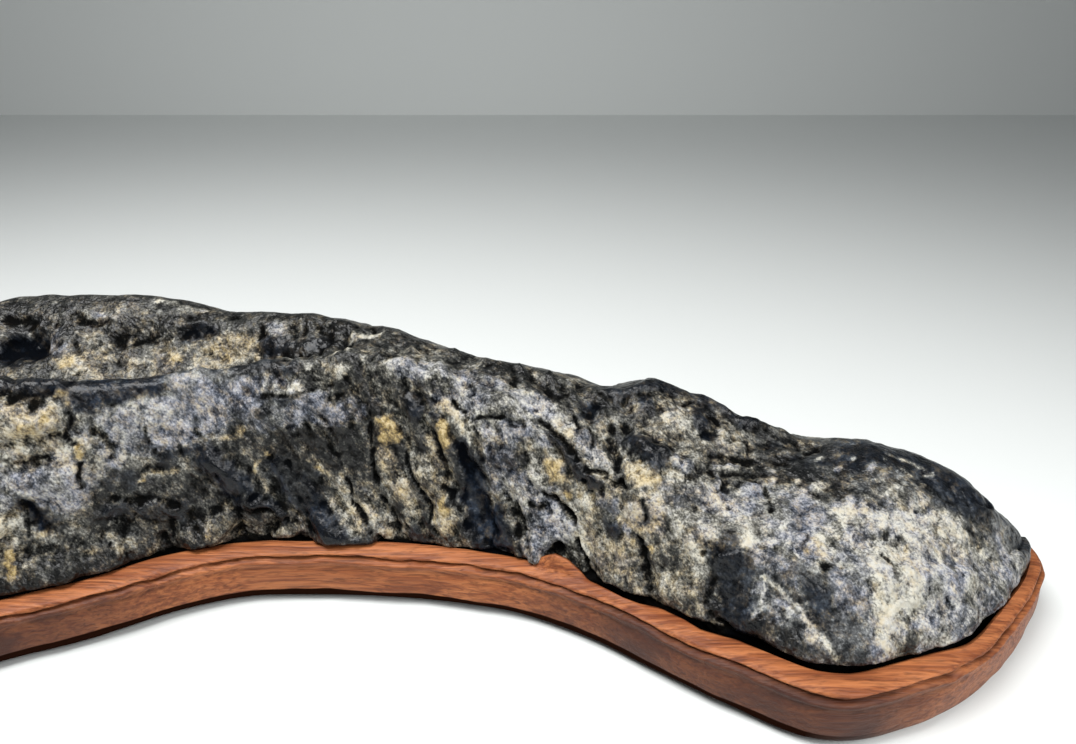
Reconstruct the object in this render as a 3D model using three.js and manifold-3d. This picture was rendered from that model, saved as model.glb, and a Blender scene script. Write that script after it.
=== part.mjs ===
// A viewing stone resting in its carved hardwood stand.
//
// Millimetres, +Z up. The ground is z = 0, +X runs along the stone from its broad hidden end to its
// narrow head, and -Y is the hollow, front side of the crescent. The finished group is centred over
// the origin, so the origin is the middle of the bottom of the whole object.
//
// The two pieces come apart by lifting: `stone` is one solid of rock, and `stand` is one block of wood
// with a recess cut to the stone's footprint and four low feet left under it.

import * as THREE from 'three';
import { mergeVertices } from 'three/addons/utils/BufferGeometryUtils.js';
import Module from 'manifold-3d';

// ---------------------------------------------------------------- driving dimensions

const STONE_LEFT = -123;
const STONE_RIGHT = 124;

// One row per station along the stone: x, the front foot's y, then y and z of the front crest, of the
// trough behind it and of the back ridge, the back foot's y, and the width of wood outside the foot.
const STATIONS = [
  [-123, -14, -12, 14, -10, 16, -7, 16, -1, 5],
  [-117, -20, -16, 18, -11, 20, -6, 20, 3, 5.2],
  [-109, -27.5, -21, 22, -13.5, 24.5, -5, 25, 8, 5.5],
  [-97, -34.5, -25, 26, -14, 28.5, -1, 29.5, 14, 5.8],
  [-83, -37, -24, 31, -11, 31, 6, 34, 21, 5.8],
  [-69, -33.5, -19, 36, -6, 33, 14, 39, 27.5, 5.8],
  [-55, -27, -12, 40, 0, 33.5, 19, 43, 32, 5.8],
  [-41, -19.8, -6.5, 40.3, 4, 34, 20, 44.2, 35, 5.6],
  [-31, -15.6, -3.5, 38.8, 6.5, 33, 20, 44.1, 36, 5.8],
  [-19, -9, 0.5, 37.8, 9, 34, 19.5, 43, 36.5, 5.9],
  [-7, -5.6, 3, 38, 10, 35.5, 18, 42.1, 36, 5.5],
  [5, -5.6, 3, 39.3, 9.5, 38.5, 16.5, 42.3, 34.5, 5],
  [17, -5.8, 3, 39.8, 8, 39.9, 14, 40.2, 32, 5.2],
  [29, -7.4, 1, 37.6, 6, 38.1, 10.5, 37.7, 29, 5],
  [41, -10.2, -2, 34.5, 3, 36.4, 7, 36.4, 26.5, 4.9],
  [49, -13.8, -5.5, 31, 0.5, 34.6, 6, 35.2, 24.5, 4.8],
  [55, -17, -9.5, 28, -2, 32.2, 3.5, 33.8, 23.5, 4.9],
  [62, -21.4, -14, 25.5, -5, 31, 3.5, 35, 22, 5.3],
  [73, -27.8, -19.5, 22.5, -9, 27, 2.5, 31, 19, 6],
  [83, -32.4, -24, 21.5, -13, 25.8, -2, 27.8, 17, 6.8],
  [95, -31.2, -23.5, 21, -14, 26, -5, 27, 15, 5.5],
  [105, -27.8, -21.5, 18.5, -14, 23.5, -6, 24.3, 12.5, 4.1],
  [114, -20.8, -17, 16, -12, 20, -7, 20.5, 8, 3.8],
  [121, -13.8, -12, 13, -10, 15, -7.5, 15.4, 2, 3.5],
  [124, -11.5, -10.5, 12.5, -9.5, 13.6, -7, 13.6, -1, 3.4],
];
const STATION_VALUES = STATIONS[0].length - 1;

const STONE_BASE_Z = 5.3; // the stone's flat underside
const FOOT_Z = 9.3; // where the stone leaves the recess
const FOOT_TUCK = 0.6; // how far the underside's edge draws in from the foot
const FOOT_DEPTH = 1; // the front wall of the foot stands upright for this much below FOOT_Z
const END_ROUND = 5; // length over which each end closes to its nose
const END_BLUNTNESS = 3; // 2 closes each end as an ellipse, more makes it blunter
const NOSE_Z = 11.5; // height of each nose
const NOSE_LEFT_Y = -8;
const NOSE_RIGHT_Y = -7.5;

// Points of a section's front face between foot and crest, and of its back between ridge and foot:
// the part of the way across, and the part of the height above the foot.
const FACE_POINTS = [[0.08, 0.18], [0.32, 0.55], [0.62, 0.86]];
const BACK_POINTS = [[0.5, 0.78], [0.86, 0.38]];
const FRONT_FOOT = 1; // the front foot's place among a section's profile points
const BACK_FOOT = 10;

const SEAT_GAP = 0.3; // under the stone
const WALL_GAP = 0.6; // round the stone's foot, in the recess
const RIM_CLEAR = 2; // how far the recess cutter runs above the rim

// The stand's outer profile from its underside up to the rim's inner lip: how far each level draws in
// from the widest line, and its height. The dip near the top is the carved groove under the rim.
const STAND_PROFILE = [
  [1.2, 1],
  [0.4, 1.3],
  [0, 2.6],
  [0.1, 5],
  [0.4, 6.9],
  [0.3, 8],
  [1.1, 8.4],
  [1.2, 8.8],
  [1, 9.1],
  [1.5, 9.5],
  [2.6, 9.7],
];
const OUTLINE_POINTS = 120;

// The feet: middle x and y, and half their length and width. They sink a little into the block.
const FEET = [
  [104, -11, 15, 10],
  [-101, -11, 15, 10],
  [30, 14, 14, 7],
  [-35, 16, 14, 7],
];
const FOOT_HEIGHT = 1;
const FOOT_SINK = 0.5;
const FOOT_SEGMENTS = 10;

const STONE_STEPS = 82; // sections along the stone
const SPAN_STEPS = 3; // points between two neighbouring profile points
const END_CROWDING = 0.55; // 0 spaces the sections evenly, 1 crowds them at the ends

const STONE_FINISH = { color: 0x4a4c50, roughness: 0.42, metalness: 0 };
const STAND_FINISH = { color: 0x8c5535, roughness: 0.45, metalness: 0 };

// ---------------------------------------------------------------- the stone

const stationCurve = new THREE.CubicInterpolant(
  STATIONS.map((row) => row[0]),
  STATIONS.flatMap((row) => row.slice(1)),
  STATION_VALUES,
);

/** The smoothed station values at x. */
function stationAt(x) {
  return Array.from(stationCurve.evaluate(x));
}

/** 1 along the stone, falling to 0 at each nose along a blunt quarter oval. */
function endFactor(x) {
  const inside = Math.min(x - STONE_LEFT, STONE_RIGHT - x, END_ROUND);
  const part = 1 - inside / END_ROUND;
  return Math.max(0, 1 - part ** END_BLUNTNESS) ** (1 / END_BLUNTNESS);
}

/** The twelve profile points [y, z] of the section at x, from the front of the underside over the top. */
function profileAt(x) {
  const [front, crestY, crestZ, troughY, troughZ, ridgeY, ridgeZ, back] = stationAt(x);
  const between = (fromY, toY, topZ) => ([across, up]) => (
    [fromY + across * (toY - fromY), FOOT_Z + up * (topZ - FOOT_Z)]
  );
  const points = [
    [front + FOOT_TUCK, STONE_BASE_Z],
    [front, FOOT_Z - FOOT_DEPTH],
    ...FACE_POINTS.map(between(front, crestY, crestZ)),
    [crestY, crestZ],
    [troughY, troughZ],
    [ridgeY, ridgeZ],
    ...BACK_POINTS.map(between(ridgeY, back, ridgeZ)),
    [back, FOOT_Z],
    [back - FOOT_TUCK, STONE_BASE_Z],
  ];
  const scale = endFactor(x);
  const noseY = x < 0 ? NOSE_LEFT_Y : NOSE_RIGHT_Y;
  return points.map(([y, z]) => [noseY + scale * (y - noseY), NOSE_Z + scale * (z - NOSE_Z)]);
}

/** The section at x as points of a smooth curve through its profile points. */
function sectionAt(x) {
  const profile = profileAt(x);
  const curve = new THREE.CubicInterpolant(
    profile.map((_, index) => index),
    profile.flat(),
    2,
  );
  const count = (profile.length - 1) * SPAN_STEPS + 1;
  return Array.from({ length: count }, (_, index) => {
    const [y, z] = curve.evaluate(index / SPAN_STEPS);
    return new THREE.Vector3(x, y, z);
  });
}

/** The x of each section between the two noses, closer together towards the ends. */
function sectionPlaces() {
  return Array.from({ length: STONE_STEPS }, (_, index) => {
    const even = (index + 1) / (STONE_STEPS + 1);
    const crowded = 0.5 * (1 - Math.cos(Math.PI * even));
    const part = even + END_CROWDING * (crowded - even);
    return STONE_LEFT + part * (STONE_RIGHT - STONE_LEFT);
  });
}

/** A closed skin over rings of equal length, with a single point at each end. */
function skin(rings, firstPoint, lastPoint) {
  const size = rings[0].length;
  const points = [...rings.flat(), firstPoint, lastPoint];
  const first = points.length - 2;
  const last = points.length - 1;
  const lastRing = (rings.length - 1) * size;
  const index = [];
  for (let i = 0; i < size; i += 1) {
    const next = (i + 1) % size;
    index.push(first, i, next);
    index.push(last, lastRing + next, lastRing + i);
    for (let ring = 0; ring < lastRing; ring += size) {
      index.push(ring + i, ring + size + i, ring + size + next);
      index.push(ring + i, ring + size + next, ring + next);
    }
  }
  const geometry = new THREE.BufferGeometry().setFromPoints(points);
  geometry.setIndex(index);
  return geometry;
}

/** The whole stone, one closed skin. */
function stoneGeometry() {
  const rings = sectionPlaces().map((x) => sectionAt(x));
  const leftNose = new THREE.Vector3(STONE_LEFT, NOSE_LEFT_Y, NOSE_Z);
  const rightNose = new THREE.Vector3(STONE_RIGHT, NOSE_RIGHT_Y, NOSE_Z);
  return skin(rings, leftNose, rightNose);
}

// ---------------------------------------------------------------- the stand

/** The stone's foot seen from above, as evenly spaced points, counter-clockwise. */
function footOutline() {
  const places = sectionPlaces();
  const front = places.map((x) => new THREE.Vector3(x, profileAt(x)[FRONT_FOOT][0], 0));
  const back = places.map((x) => new THREE.Vector3(x, profileAt(x)[BACK_FOOT][0], 0)).reverse();
  const tips = [[STONE_RIGHT, NOSE_RIGHT_Y], [STONE_LEFT, NOSE_LEFT_Y]];
  const [right, left] = tips.map(([x, y]) => new THREE.Vector3(x, y, 0));
  const curve = new THREE.CatmullRomCurve3([...front, right, ...back, left], true);
  return curve.getSpacedPoints(OUTLINE_POINTS).slice(0, OUTLINE_POINTS);
}

/** The outline moved outwards by distance(point), at height z. */
function offsetOutline(outline, distance, z) {
  return outline.map((point, index) => {
    const before = outline[(index + OUTLINE_POINTS - 1) % OUTLINE_POINTS];
    const after = outline[(index + 1) % OUTLINE_POINTS];
    const along = after.clone().sub(before).normalize();
    const outward = new THREE.Vector3(along.y, -along.x, 0);
    const moved = point.clone().addScaledVector(outward, distance(point));
    return moved.setZ(z);
  });
}

/** A solid with the given rings as its walls, and flat faces at the bottom and top. */
function ringSolid(rings) {
  const shape = rings[0].map((point) => new THREE.Vector2(point.x, point.y));
  const lid = THREE.ShapeUtils.triangulateShape(shape, []);
  const size = rings[0].length;
  const top = (rings.length - 1) * size;
  const index = lid.flatMap(([a, b, c]) => [a, c, b, top + a, top + b, top + c]);
  for (let i = 0; i < size; i += 1) {
    const next = (i + 1) % size;
    for (let ring = 0; ring < top; ring += size) {
      index.push(ring + i, ring + next, ring + size + next);
      index.push(ring + i, ring + size + next, ring + size + i);
    }
  }
  const geometry = new THREE.BufferGeometry().setFromPoints(rings.flat());
  geometry.setIndex(index);
  return geometry;
}

/** The stand's block before the recess is cut: its profile carried round the outline. */
function blockGeometry(outline) {
  const rim = (point) => stationAt(point.x)[STATION_VALUES - 1];
  const rings = STAND_PROFILE.map(([inset, z]) => (
    offsetOutline(outline, (point) => rim(point) - inset, z)
  ));
  return ringSolid(rings);
}

/** The recess for the stone's foot, running up past the rim. */
function recessGeometry(outline) {
  const top = STAND_PROFILE[STAND_PROFILE.length - 1][1] + RIM_CLEAR;
  const heights = [STONE_BASE_Z - SEAT_GAP, top];
  return ringSolid(heights.map((z) => offsetOutline(outline, () => WALL_GAP, z)));
}

/** One low foot: a flat oval pad under the block. */
function footGeometry([x, y, halfLength, halfWidth]) {
  const shape = new THREE.Shape().absellipse(x, y, halfLength, halfWidth, 0, 2 * Math.PI);
  return new THREE.ExtrudeGeometry(shape, {
    depth: FOOT_HEIGHT + FOOT_SINK,
    curveSegments: FOOT_SEGMENTS,
    bevelEnabled: false,
  });
}

/** A solid of the boolean library made from a three.js geometry. */
function toSolid(wasm, geometry) {
  const bare = geometry.clone();
  bare.deleteAttribute('normal');
  bare.deleteAttribute('uv');
  const merged = mergeVertices(bare);
  const mesh = new wasm.Mesh({
    numProp: 3,
    vertProperties: new Float32Array(merged.attributes.position.array),
    triVerts: new Uint32Array(merged.index.array),
  });
  return new wasm.Manifold(mesh);
}

/** A three.js geometry made from a solid of the boolean library. */
function toGeometry(solid) {
  const { vertProperties, triVerts } = solid.getMesh();
  const geometry = new THREE.BufferGeometry();
  geometry.setAttribute('position', new THREE.BufferAttribute(vertProperties, 3));
  geometry.setIndex(new THREE.BufferAttribute(triVerts, 1));
  return geometry;
}

/** The stand: the block with its feet added and the recess cut out. */
async function standGeometry() {
  const wasm = await Module();
  wasm.setup();
  const outline = footOutline();
  const block = toSolid(wasm, blockGeometry(outline));
  const footed = FEET.reduce((solid, foot) => solid.add(toSolid(wasm, footGeometry(foot))), block);
  return toGeometry(footed.subtract(toSolid(wasm, recessGeometry(outline))));
}

// ---------------------------------------------------------------- assembly

/** A named mesh with its own material. */
function part(name, geometry, finish) {
  geometry.computeVertexNormals();
  const mesh = new THREE.Mesh(geometry, new THREE.MeshStandardMaterial(finish));
  mesh.name = name;
  return mesh;
}

const group = new THREE.Group();
group.add(part('stone', stoneGeometry(), STONE_FINISH));
group.add(part('stand', await standGeometry(), STAND_FINISH));

const middle = new THREE.Box3().setFromObject(group).getCenter(new THREE.Vector3());
group.position.set(-middle.x, -middle.y, 0);

export default group;
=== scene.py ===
"""A long twisted viewing stone, resting in the rosewood stand that was carved to its footprint.

The CAD model gives the place and size of both pieces and stays hidden behind them: a weathered skin of the
same form stands for the stone, and a carved skin stands for the stand. Lengths are in millimetres until a
mesh is written in metres. A place on the stone is (x, girth): x runs along it, and girth runs round it,
with 0 and 11 at the edges of the underside, 1 at the front foot, 5 at the front crest, 6 in the trough
behind it, 7 on the back ridge and 10 at the back foot.
"""
import logging
import math
from dataclasses import dataclass
from enum import Enum

import bmesh
import bpy
import numpy as np
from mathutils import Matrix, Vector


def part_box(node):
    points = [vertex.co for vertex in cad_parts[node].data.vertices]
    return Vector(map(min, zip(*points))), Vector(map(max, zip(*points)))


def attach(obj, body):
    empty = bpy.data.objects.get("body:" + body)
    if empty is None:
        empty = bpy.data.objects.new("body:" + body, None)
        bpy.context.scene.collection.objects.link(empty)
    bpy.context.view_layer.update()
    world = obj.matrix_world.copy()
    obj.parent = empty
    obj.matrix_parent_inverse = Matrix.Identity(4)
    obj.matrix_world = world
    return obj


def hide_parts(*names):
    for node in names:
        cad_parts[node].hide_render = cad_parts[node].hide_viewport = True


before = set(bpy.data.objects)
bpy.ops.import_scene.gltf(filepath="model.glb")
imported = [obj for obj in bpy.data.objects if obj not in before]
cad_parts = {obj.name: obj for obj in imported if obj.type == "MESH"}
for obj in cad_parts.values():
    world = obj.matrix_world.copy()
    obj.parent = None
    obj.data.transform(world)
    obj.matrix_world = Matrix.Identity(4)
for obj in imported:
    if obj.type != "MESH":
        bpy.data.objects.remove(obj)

LOG = logging.getLogger("viewing_stone")
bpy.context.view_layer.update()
METRES = 0.001  # metres in a millimetre
WELD = 1e-7  # metres within which two points become one
TINY = 1e-9  # the least length that anything is divided by

Value = float | np.ndarray
Pair = tuple[float, float]
Triple = tuple[float, float, float]
Quad = tuple[float, float, float, float]
Path = tuple[Pair, ...]  # places (x, girth), or rows of a place and its value
Layers = dict[str, np.ndarray]
Socket = bpy.types.NodeSocket | None
MIX_PART, MIX_FIRST, MIX_SECOND, MIX_COLOUR = 0, 6, 7, 2  # the sockets of a Mix node that mixes colours


# ---------------------------------------------------------------- curves, noise and meshes

def smoothstep(low: Value, high: Value, value: np.ndarray) -> np.ndarray:
    """Rises from 0 at low to 1 at high, level at both ends, by 3t^2 - 2t^3."""
    part = np.clip((value - low) / (high - low), 0.0, 1.0)
    return part * part * (3.0 - 2.0 * part)


def within(window: Quad, value: np.ndarray) -> np.ndarray:
    """Rises from 0 to 1 over the window's first two values, and falls again over its last two."""
    start, full, fading, end = window
    return smoothstep(start, full, value) * smoothstep(end, fading, value)


def read_rows(rows: Path, at: np.ndarray) -> np.ndarray:
    """Straight lines through rows of (place, value), read at each place."""
    return np.interp(at, *np.array(rows).T)


def blend(first: Value, second: Value, part: Value) -> Value:
    """The first where part is 0, the second where it is 1, and evenly between."""
    return first + (second - first) * part


def curve_through(knots: np.ndarray, values: np.ndarray, at: np.ndarray) -> np.ndarray:
    """Cubic curves through rows of values, each knot's slope being the mean of its two chords' slopes.

    Args:
        knots: where the values stand, (k,).
        values: the values of n curves, (n, k, c).
        at: where to read each curve, (n, m).

    Returns:
        The values read, (n, m, c).
    """
    gaps = np.diff(knots)
    chords = np.diff(values, axis=1) / gaps[:, None]
    middle = (chords[:, 1:] + chords[:, :-1]) / 2.0
    slopes = np.concatenate([chords[:, :1], middle, chords[:, -1:]], axis=1)
    span = np.clip(np.searchsorted(knots, at, side="right") - 1, 0, len(knots) - 2)
    row = np.arange(len(values))[:, None]
    gap = gaps[span][..., None]
    part = np.clip((at - knots[span])[..., None] / gap, 0.0, 1.0)
    square = part * part
    cube = square * part
    rise, fall = (cube - 2 * square + part) * gap, (cube - square) * gap
    start = (2 * cube - 3 * square + 1) * values[row, span] + rise * slopes[row, span]
    end = (3 * square - 2 * cube) * values[row, span + 1] + fall * slopes[row, span + 1]
    return start + end


def spread_evenly(distance: np.ndarray, values: np.ndarray, count: int) -> np.ndarray:
    """Reads rows of values at places spaced evenly along each row's own growing distance.

    Args:
        distance: each row's distance so far, (n, k), growing from 0.
        values: what to read, (n, k).
        count: how many places to read in each row.

    Returns:
        The values read, (n, count). All rows are read in one pass, by setting them end to end.
    """
    share = distance / distance[:, -1:]
    shift = np.arange(len(share))[:, None] * 2.0
    wanted = np.linspace(0.0, 1.0, count)[None, :] + shift
    return np.interp(wanted.ravel(), (share + shift).ravel(), values.ravel()).reshape(len(share), count)


class Noise:
    """Seeded noise in space, the same on each run."""

    SIZE = 256  # entries in the hash table
    STRETCH = 1.7  # brings the gradient noise to about -1 to 1
    FINER_GAIN = 0.5  # how strong each octave is against the last, which is half as fine
    OCTAVE_STEP = 17.3  # sets each octave off from the last, so that their lattices don't line up
    RIDGE_STEP = 31.7
    RIDGE_MIDDLE = 0.5  # taken off the ridges, so that they swing about 0
    FAR = 9.0  # farther than any cell's point

    def __init__(self, seed: int) -> None:
        """Draws the hash table, the gradients, and the cells' points and numbers.

        Args:
            seed: of the random draws.
        """
        draw = np.random.default_rng(seed)
        self.table = draw.permutation(self.SIZE)
        directions = draw.normal(size=(self.SIZE, 3))
        self.gradients = directions / np.linalg.norm(directions, axis=1, keepdims=True)
        self.jitter = draw.random((self.SIZE, 3))
        self.chance = draw.random(self.SIZE)

    def corner(self, cell: np.ndarray, offset: np.ndarray) -> np.ndarray:
        """The hash of the lattice corner at cell + offset."""
        x, y, z = np.moveaxis(cell + offset, -1, 0) % self.SIZE
        table = self.table
        return table[(table[(table[x] + y) % self.SIZE] + z) % self.SIZE]

    def smooth(self, points: np.ndarray) -> np.ndarray:
        """Gradient noise: each lattice corner's slope, faded into its neighbours' by 6t^5 - 15t^4 + 10t^3.

        Args:
            points: where to read it, (..., 3); the lattice's corners are 1 apart.

        Returns:
            The noise, (...), from about -1 to 1.
        """
        cell = np.floor(points).astype(int)
        inside = points - cell
        fade = inside ** 3 * (inside * (inside * 6.0 - 15.0) + 10.0)
        total = np.zeros(points.shape[:-1])
        for offset in np.ndindex(2, 2, 2):
            step = np.array(offset)
            weight = np.prod(np.where(step == 1, fade, 1.0 - fade), axis=-1)
            slope = self.gradients[self.corner(cell, step)]
            total += weight * np.sum(slope * (inside - step), axis=-1)
        return total * self.STRETCH

    def fractal(self, points: np.ndarray, octaves: int) -> np.ndarray:
        """The sum of smooth noises, each twice as fine as the last and half as strong.

        Args:
            points: where to read it, (..., 3).
            octaves: how many noises are summed.

        Returns:
            The noise, (...).
        """
        total = np.zeros(points.shape[:-1])
        for octave in range(octaves):
            finer = points * 2.0 ** octave + self.OCTAVE_STEP * octave
            total += self.FINER_GAIN ** octave * self.smooth(finer)
        return total

    def ridges(self, points: np.ndarray, octaves: int) -> np.ndarray:
        """Sharp-topped noise: (1 - |smooth noise|) squared, with a crease where that noise changes sign.

        Args:
            points: where to read it, (..., 3).
            octaves: how many noises are summed, as in fractal.

        Returns:
            The noise, (...), swinging about 0.
        """
        total = np.zeros(points.shape[:-1])
        for octave in range(octaves):
            crease = 1.0 - np.abs(self.smooth(points * 2.0 ** octave + self.RIDGE_STEP * octave))
            total += self.FINER_GAIN ** octave * (crease * crease - self.RIDGE_MIDDLE)
        return total

    def cells(self, points: np.ndarray) -> tuple[np.ndarray, np.ndarray]:
        """Reads the cells: one point is drawn in each unit cube of the lattice.

        Args:
            points: where to look, (..., 3).

        Returns:
            The distance to the nearest drawn point, and that point's own number from 0 to 1.
        """
        cell = np.floor(points).astype(int)
        nearest = np.full(points.shape[:-1], self.FAR)
        number = np.zeros(points.shape[:-1])
        for offset in np.ndindex(3, 3, 3):
            step = np.array(offset) - 1
            code = self.corner(cell, step)
            distance = np.linalg.norm(cell + step + self.jitter[code] - points, axis=-1)
            closer = distance < nearest
            nearest = np.where(closer, distance, nearest)
            number = np.where(closer, self.chance[code], number)
        return nearest, number


def grid_faces(rows: int, columns: int, wrap: bool) -> np.ndarray:
    """Numbers the corners of the quads between the points of a grid, row by row.

    Args:
        rows: how many rows of points.
        columns: how many points in each.
        wrap: whether the last column joins the first.

    Returns:
        Four corner numbers a quad, (m, 4).
    """
    row = np.arange(rows - 1)[:, None] * columns
    following_row = row + columns
    column = np.arange(columns if wrap else columns - 1)[None, :]
    following = (column + 1) % columns
    corners = [row + column, following_row + column, following_row + following, row + following]
    return np.stack(corners, axis=-1).reshape(-1, 4)


def add_mesh(name: str, points: np.ndarray, quads: np.ndarray, layers: Layers) -> bpy.types.Object:
    """Makes one smooth-shaded object out of points in millimetres, and welds its poles and seams.

    Args:
        name: the object's name.
        points: the points, (n, 3).
        quads: four corner numbers a face, (m, 4), anticlockwise from outside.
        layers: point attributes by name, each (n,).

    Returns:
        The object, linked to the scene, at the origin.
    """
    mesh = bpy.data.meshes.new(name)
    mesh.from_pydata((points * METRES).tolist(), [], quads.tolist())
    for layer, values in layers.items():
        attribute = mesh.attributes.new(layer, "FLOAT", "POINT")
        attribute.data.foreach_set("value", values.astype(np.float32))
    work = bmesh.new()
    work.from_mesh(mesh)
    bmesh.ops.remove_doubles(work, verts=work.verts, dist=WELD)
    bmesh.ops.recalc_face_normals(work, faces=work.faces)
    work.to_mesh(mesh)
    work.free()
    mesh.polygons.foreach_set("use_smooth", np.ones(len(mesh.polygons), bool))
    mesh.update()
    made = bpy.data.objects.new(name, mesh)
    bpy.context.scene.collection.objects.link(made)
    return made


# ---------------------------------------------------------------- the stone's form

@dataclass(frozen=True)
class StoneForm:
    """The stone's smooth form, before weathering: the same curves as the CAD solid.

    A station holds x, the front foot's y, then y and z of the front crest, of the trough behind it and of
    the back ridge, the back foot's y, and the width of wood outside the foot.
    """

    left: float = -123.0
    right: float = 124.0
    base_z: float = 5.3  # the underside
    foot_z: float = 9.3  # where the stone leaves the recess
    foot_tuck: float = 0.6  # how far the underside's edge draws in
    foot_depth: float = 1.0  # the foot stands upright for this much below foot_z
    end_round: float = 5.0  # length over which each end closes to its nose
    end_bluntness: float = 3.0
    nose_z: float = 11.5
    nose_left_y: float = -8.0
    nose_right_y: float = -7.5
    face_points: Path = ((0.08, 0.18), (0.32, 0.55), (0.62, 0.86))  # shares of the way in, and up
    back_points: Path = ((0.5, 0.78), (0.86, 0.38))  # shares of the way out, and of the ridge's height
    foot_girths: Pair = (1.0, 10.0)
    face_girth: float = 3.5
    crest_girth: float = 5.0
    last_girth: int = 11
    shift_steps: int = 2000  # sections at which the footprint's middle is measured
    hem: Path = (  # x, and how far the front lobes hang out over the foot there
        (-60, 1.0), (-46, 1.5), (-40, 1.5), (-37.5, 2.2), (-34, 2.4), (-32, 2.0), (-30.2, 1.2),
        (-28, 2.0), (-26, 2.6), (-25, 1.3), (-21.5, 1.4), (-20, 0.4), (-17, 0.2), (-14, 2.4),
        (-11.7, 2.2), (-9.5, 0.6), (-7.7, -1.2), (-4.4, -0.3), (-2.9, -0.8), (-1.3, 1.3), (4, 0.5),
        (5.6, 2.2), (10.7, 3.0), (14, 2.6), (19.4, -0.2), (24.6, 0.0), (28.5, 1.4), (31.7, 0.6),
        (36.7, 0.4), (40.6, 1.8), (43, 1.4), (44.8, -1.2), (46.5, -0.8), (49.3, -0.6), (51.4, 0.2),
        (55, 1.5), (57.6, 2.0), (61, 0.1), (65, 1.4), (67.8, 1.8), (70, 0.5), (72.7, 0.7), (78, 2.2),
        (82.5, 2.4), (86, 2.2), (90.4, 2.0), (94, 1.6), (101, 1.0), (107.3, 1.3), (110.6, 1.3),
        (118, 1.5), (124, 1.2),
    )
    hem_rise: Path = ((46, 9.9), (56, 10.6), (73, 10.6), (80, 10.0), (124, 10.1))  # x, the lobes' height
    hem_full: float = 1.0  # the lobes are full for this much above their height
    hem_fade: float = 6.5  # and have faded out this much above it
    wall_gap: float = 0.6  # round the foot, in the recess
    front_gap: Path = (  # x, and the gap in front of the foot there
        (50, 0.6), (53, 1.1), (57, 1.8), (59.5, 1.5), (62, 0.6), (65, 1.0), (68, 1.7), (72.5, 1.0),
        (78, 1.6), (82, 2.0), (86, 1.9), (90, 1.3), (95, 0.8), (99, 0.6), (104.5, 1.0), (108, 0.8),
        (113, 0.5), (124, 0.5),
    )
    stations: tuple[tuple[float, ...], ...] = (
        (-123, -14, -12, 14, -10, 16, -7, 16, -1, 5),
        (-117, -20, -16, 18, -11, 20, -6, 20, 3, 5.2),
        (-109, -27.5, -21, 22, -13.5, 24.5, -5, 25, 8, 5.5),
        (-97, -34.5, -25, 26, -14, 28.5, -1, 29.5, 14, 5.8),
        (-83, -37, -24, 31, -11, 31, 6, 34, 21, 5.8),
        (-69, -33.5, -19, 36, -6, 33, 14, 39, 27.5, 5.8),
        (-55, -27, -12, 40, 0, 33.5, 19, 43, 32, 5.8),
        (-41, -19.8, -6.5, 40.3, 4, 34, 20, 44.2, 35, 5.6),
        (-31, -15.6, -3.5, 38.8, 6.5, 33, 20, 44.1, 36, 5.8),
        (-19, -9, 0.5, 37.8, 9, 34, 19.5, 43, 36.5, 5.9),
        (-7, -5.6, 3, 38, 10, 35.5, 18, 42.1, 36, 5.5),
        (5, -5.6, 3, 39.3, 9.5, 38.5, 16.5, 42.3, 34.5, 5),
        (17, -5.8, 3, 39.8, 8, 39.9, 14, 40.2, 32, 5.2),
        (29, -7.4, 1, 37.6, 6, 38.1, 10.5, 37.7, 29, 5),
        (41, -10.2, -2, 34.5, 3, 36.4, 7, 36.4, 26.5, 4.9),
        (49, -13.8, -5.5, 31, 0.5, 34.6, 6, 35.2, 24.5, 4.8),
        (55, -17, -9.5, 28, -2, 32.2, 3.5, 33.8, 23.5, 4.9),
        (62, -21.4, -14, 25.5, -5, 31, 3.5, 35, 22, 5.3),
        (73, -27.8, -19.5, 22.5, -9, 27, 2.5, 31, 19, 6),
        (83, -32.4, -24, 21.5, -13, 25.8, -2, 27.8, 17, 6.8),
        (95, -31.2, -23.5, 21, -14, 26, -5, 27, 15, 5.5),
        (105, -27.8, -21.5, 18.5, -14, 23.5, -6, 24.3, 12.5, 4.1),
        (114, -20.8, -17, 16, -12, 20, -7, 20.5, 8, 3.8),
        (121, -13.8, -12, 13, -10, 15, -7.5, 15.4, 2, 3.5),
        (124, -11.5, -10.5, 12.5, -9.5, 13.6, -7, 13.6, -1, 3.4),
    )

    def station_values(self, x: np.ndarray) -> np.ndarray:
        """The station values at each x, (n, 9), on a smooth curve through the stations."""
        table = np.array(self.stations, float)
        return curve_through(table[:, 0], table[None, :, 1:], x[None, :])[0]

    def end_factor(self, x: np.ndarray) -> np.ndarray:
        """1 along the stone, falling to 0 at each nose along a blunt quarter oval: (1 - t^n)^(1/n)."""
        inside = np.minimum(np.minimum(x - self.left, self.right - x), self.end_round)
        part = 1.0 - inside / self.end_round
        return np.maximum(0.0, 1.0 - part ** self.end_bluntness) ** (1.0 / self.end_bluntness)

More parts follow.
